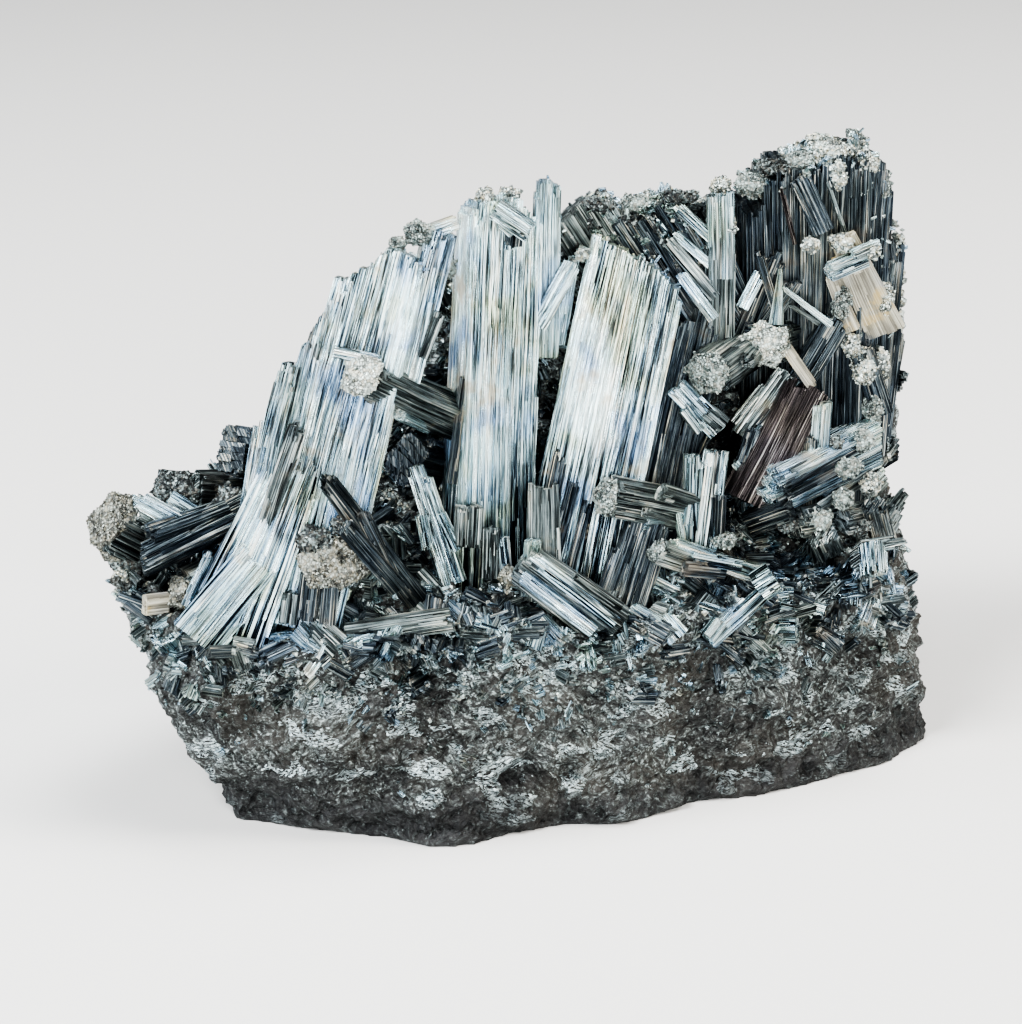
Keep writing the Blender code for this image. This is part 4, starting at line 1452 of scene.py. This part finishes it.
# Small crystals between the large ones: slot, root, tip, width, thickness and other fields.
DETAILS = """
bright -52.5 -12 37.6 -50.1 -10 42.4 2.6 2
bright -49.5 -12 37.3 -46.7 -9 40.6 2.8 2
tan -46.4 -21 31.8 -49.4 -22.8 32.1 2.3 1.8 lath=0.36
crust -6.3 -14 37.1 -6 -13.2 43 3.4 1.2 lath=0.5
crust -3.3 -15 33 -3.1 -14 40.2 1.8 1.4
bright -1.2 -15 33 -1.8 -13.5 38.6 1.5 1.2 turn=-30
bright 34.2 -3 41.9 30.3 -3 46.1 1.8 1.5
crust 25 -12 33.7 18.9 -15 37 3 2.4 head=3.6
bright 19.8 -19 27.9 15.4 -20 31 1.1 0.9
bright 47.6 1.8 73.2 42.2 -0.8 71.7 2 1.7
bright 49.4 1.4 75.2 45.4 -0.2 74 1.2 1
bright 32.2 4 65 33.8 4 71 1.2 1
bright 31.2 1.5 66 34 3.5 71.2 1.3 1
bright 35.8 1.2 64 36.2 1 72 1.5 1 spread=0.3
bright 43.4 1.4 63.8 36.4 0.6 69.3 0.8 0.7 spread=0.6
crust 41.6 1.2 64 37.2 0.6 67 0.5 0.5
bright 3.2 -3.4 65 8 -2.2 73.6 2 1.6
bright 27.6 3.4 74.6 21.8 3.8 80 1.3 1
bright 27.4 2.8 71.4 21.4 3.2 76.6 0.9 0.8
crust 27.4 1.8 67.6 20.4 2.6 75.8 1.4 1.2
bright 27.2 0.2 65 22.4 1.4 71.2 1.2 1.1
bright 16 5.4 72 9.4 5.8 76.4 1 0.9
dark 51.4 5 50 47.8 3.2 60 3 2
bright -11.8 -8 79 -7.2 -7 80.4 1.6 1.3
bright -23.4 -19.4 66.2 -17.2 -20.4 65.2 1.3 0.9 lath=0.4
bright -44.4 -14.6 40.4 -51 -13.5 43.9 2 1.4
bright -41.6 -13.4 40.6 -46.8 -12.4 43.6 1.6 1.2
brown 38.2 3.4 74.6 36 3.2 82.6 0.45 0.4
crust 45 3.4 76 42.4 3.6 83.4 0.5 0.4
dark 35.6 2 66 33 2.6 74 0.8 0.8
dark 31.6 3 62.8 38.2 3 62.4 1.6 1.2
bright 25.6 5.2 66.6 13.6 5.6 76.8 1 0.9
bright 27 4.6 70.6 17.2 5.4 79.4 1 0.9
crust 22.4 4.6 66 13.4 4.8 73.2 0.8 0.8
dark -27.6 -25 31 -26.6 -24.4 38.2 2.4 1.8
dark -24.8 -25.6 30.6 -24.2 -25 36.6 2 1.5
crust -30 -25.4 30.6 -29.4 -25 35 1.8 1.4
bright 13.6 -20.6 28.8 2 -19.4 38 1.4 1
bright 10.6 -20.9 27.6 0.6 -19.6 35.4 1.8 1
dark 1.6 -13.9 28.5 6.4 -9.5 50 1.5 0.9
dark 3.8 -14 29 8.2 -10.2 46 1.3 0.9
dark 6.4 -13.9 29 10 -10.8 43 1 0.8
dark 30.2 4 58 36 3.2 74 2.6 1.6
dark 32.4 3.2 60 38.6 2.8 70 2.2 1.4
crust 30.8 3.6 62 37.2 3.2 69.6 0.7 0.7
dark 37.6 2.6 52 44.6 2.8 64.6 3.4 2
tan 35.6 1 63 41.6 0.4 54.4 1.2 1 lath=0.4
dark 42 2.4 76.6 38.4 3.6 84 2.6 1.6
dark 48 1.2 46.3 36.3 -7.6 43 0.9 0.8
dark 47.4 0.4 44.5 35.8 -8 41.5 0.8 0.8
crust 46.4 0.6 47.2 37.4 -6.4 44.6 1.2 1
dark 32.4 -4.4 37 38 -7.4 40.4 3 2.4
crust 46 -1 37 38.6 -6 37.4 3.4 2.6
crust 50.6 0 37 45 -5 37.6 3.2 2.6
dark 51.6 1 33 49.4 -4 39.6 3.2 2.4
crust 44 -2 32 42.4 -6.6 36 3.6 2.4
"""
# Lumps of granular crust: coat, place, radii and, if it isn't 0.5, the size of a grain.
LUMPS = """
pale 43.4 8.4 86.2 3.6 3.2 1.7
grey 39.4 8.2 85.2 3 3 1.1
dark 35.6 7.4 84.4 2.8 3 1
grey 32.4 6 82.4 2.4 2.4 1.4
pale 43.9 5 83.9 1.2 1.1 2.2
pale 47.6 8 84.6 2.4 2.8 1.8
grey 50.6 9.4 80.4 1.3 2 2.4
pale 27.9 3.4 82.8 1.6 1.6 1.2
pale 40.2 1.6 75 1.3 1.2 1.2
pale 29.6 2.6 77 0.8 0.8 0.8
pale 48.2 1.2 74.4 1.2 1 1.1
grey 44.8 2.2 66.6 1.3 0.8 2.4
pale 44.4 2.2 75.4 1.9 1.4 1.5
grey -8.9 -4.6 73.2 1.3 1.2 1.4
pale 8.9 -1.4 74.4 1 1 0.9
pale 11.6 -1.8 74.6 2 1.4 0.9
grey -12.6 -8.8 79 2.2 2 2
grey -15.4 -10.6 78.4 1.4 1.3 0.9
pale -4 -3.4 83 1.5 1.5 0.9
pale -0.6 -2.4 83.2 1.7 1.5 0.9
dark 11.4 6.2 79.4 3 2.4 0.8
grey 16.6 6.2 79.9 2.4 2.2 0.9
dark 22.6 6.6 80.6 2.8 2.4 0.8
tan -44.4 -21.6 33.2 1.9 1.5 2.7 0.4
dark -26.2 -23.4 41.2 3 1.6 2.8 0.4
dark -22.6 -22.6 43.4 2 1.4 1.6 0.4
tan -1 -17 33.6 1.5 1.2 1.8 0.4
grey 24.6 2.2 50.4 1.5 1.3 1.6
grey 28.6 -10.6 36.8 2 1.6 1.2
pale 46.4 3 60.6 1.5 1.2 2
pale 48.4 3.4 57.4 2 1.4 3.2
pale 51 4.6 56 1 1.2 4
grey 50 4.4 51 1.7 1.6 3.2
grey 41.8 -4.8 37.6 2.6 1.7 1.9
dark 47.6 -3.6 36.6 2.4 1.6 1.5
pale 51 4.8 66.6 1.2 1.4 3
tan -54.4 -13.6 37.8 2.6 2.4 3.2 0.4
dark -52.6 -13.6 35 2.5 2.2 2.6 0.4
pale -53 -15.4 33.4 1.3 1.1 1
dark 37.4 -6.4 37.4 1.6 1.3 1.1
grey 46.2 -1.6 44.1 2 1.4 1.8
grey 48.4 0.8 47 1.9 1.4 1.6
pale 49.4 -0.4 41.4 1.6 1.4 2
dark 44.4 -1.4 47.6 1.2 1 0.8
grey 45.2 -4.6 40.6 1.6 1.4 1.6
"""


def grow_details(kit: Kit) -> None:
    """Grows the small crystals and crust lumps between the large crystals."""
    CrystalPiece("detail", Crystal.table(DETAILS)).build(kit, DETAIL_SEED)
    by_coat: dict[Coat, list[bpy.types.Mesh]] = {}
    for number, row in enumerate(LUMPS.strip().splitlines()):
        word, *numbers = row.split()
        x, y, z, *radii, grain = map(float, (numbers + ["0.5"])[:7])
        mesh = kit.knobs.run(None, {
            "Radii": Vector(radii) * MM, "Grain": grain * MM, "Seed": LUMP_SEED + number,
            "Material": kit.coats[Coat(word)]})
        mesh.transform(Matrix.Translation(Vector((x, y, z)) * MM + TO_MIDDLE))
        by_coat.setdefault(Coat(word), []).append(mesh)
    for coat, meshes in by_coat.items():
        seat(f"detail_{coat.value}_lumps", meshes, Slot.CRUST)


# ---- studio


def aimed(name: str, data: Any, place: Vector, aim: Vector) -> bpy.types.Object:
    """Links a light or a camera at a place, turned to its aim."""
    made = bpy.data.objects.new(name, data)
    made.location = place
    made.rotation_euler = (aim - place).to_track_quat("-Z", "Y").to_euler()
    bpy.context.scene.collection.objects.link(made)
    return made


@dataclass(frozen=True)
class Softbox:
    """One rectangular studio light: its place and size in metres, its power in watts."""

    name: str
    place: Triple
    size: tuple[float, float]
    power: float
    colour: str = "#FFFFFF"

    def build(self) -> None:
        """Adds the light."""
        light = bpy.data.lights.new(self.name, "AREA")
        light.shape = "RECTANGLE"
        light.size, light.size_y = self.size
        light.energy = self.power
        light.color = linear(self.colour)[:3]
        aimed(self.name, light, Vector(self.place), Vector((0.0, 0.0, 0.045)))


@dataclass(frozen=True)
class Studio:
    """Camera, plain pale floor and soft lights.

    Attributes:
        lens: Focal length, in millimetres.
        elevation: How far the camera looks down, in degrees.
        distance: From the camera to its target, in metres.
        target: Where it looks.
        exposure: Exposure of the view.
        ambient: Strength of the even grey light.
        lights: The soft lights.
    """

    lens: float = 100.0
    elevation: float = 20.0
    distance: float = 0.374
    target: Triple = (-0.0013, -0.0218, 0.045)
    exposure: float = 0.85
    ambient: float = 0.25
    lights: tuple[Softbox, ...] = (
        Softbox("front_softbox", (0.10, -1.05, 0.30), (0.6, 0.5), 6.0),
        Softbox("key_softbox", (-0.5, -0.5, 0.85), (0.4, 0.4), 9.0),
        Softbox("high_softbox", (0.3, 0.1, 1.1), (0.6, 0.6), 7.0),
        Softbox("left_strip", (-0.9, -0.2, 0.35), (0.25, 0.6), 2.5, "#EAF1FF"),
        Softbox("right_strip", (0.9, -0.1, 0.5), (0.25, 0.7), 3.5, "#FFF3E6"),
    )

    def build(self, kit: Kit) -> None:
        """Adds all that isn't the specimen; the camera looks slightly down at its open side."""
        floor = mesh_object("floor", bpy.data.meshes.new("floor"))
        floor.data.from_pydata([(-4, -3, 0), (4, -3, 0), (4, 6, 0), (-4, 6, 0)], [], [(0, 1, 2, 3)])
        floor.data.materials.append(kit.floor)
        scene = bpy.context.scene
        scene.world = bpy.data.worlds.new("studio")
        scene.world.use_nodes = True
        colour, strength = scene.world.node_tree.nodes["Background"].inputs[:2]
        colour.default_value = linear("#8C9096")
        strength.default_value = self.ambient
        for light in self.lights:
            light.build()
        camera = bpy.data.cameras.new("camera")
        camera.lens = self.lens
        camera.sensor_width = 36.0
        camera.clip_start = 0.01
        tilt = math.radians(self.elevation)
        back = Vector((0.0, -math.cos(tilt), math.sin(tilt)))
        target = Vector(self.target)
        scene.camera = aimed("camera", camera, target + back * self.distance, target)
        scene.view_settings.view_transform = "AgX"
        scene.view_settings.look = "AgX - High Contrast"
        scene.view_settings.exposure = self.exposure


def main() -> None:
    """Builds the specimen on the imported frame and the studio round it."""
    logging.basicConfig(level=logging.INFO, format="%(name)s: %(message)s")
    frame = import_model()
    nodes, kit = frame["nodes"], Kit()
    rock = broken_rock(nodes[ROCK_NODE], kit)
    grow_druse({**nodes, SKIN: rock}, kit)
    skin = BVHTree.FromObject(rock, bpy.context.evaluated_depsgraph_get())
    for number, thicket in enumerate(THICKETS):
        thicket.build(skin, kit, THICKET_SEED + number * THICKET_STEP)
    for number, piece in enumerate(crystal_pieces()):
        piece.build(kit, PIECE_SEED + number * PIECE_STEP, nodes)
    grow_details(kit)
    Studio().build(kit)


if __name__ == "__main__":
    main()
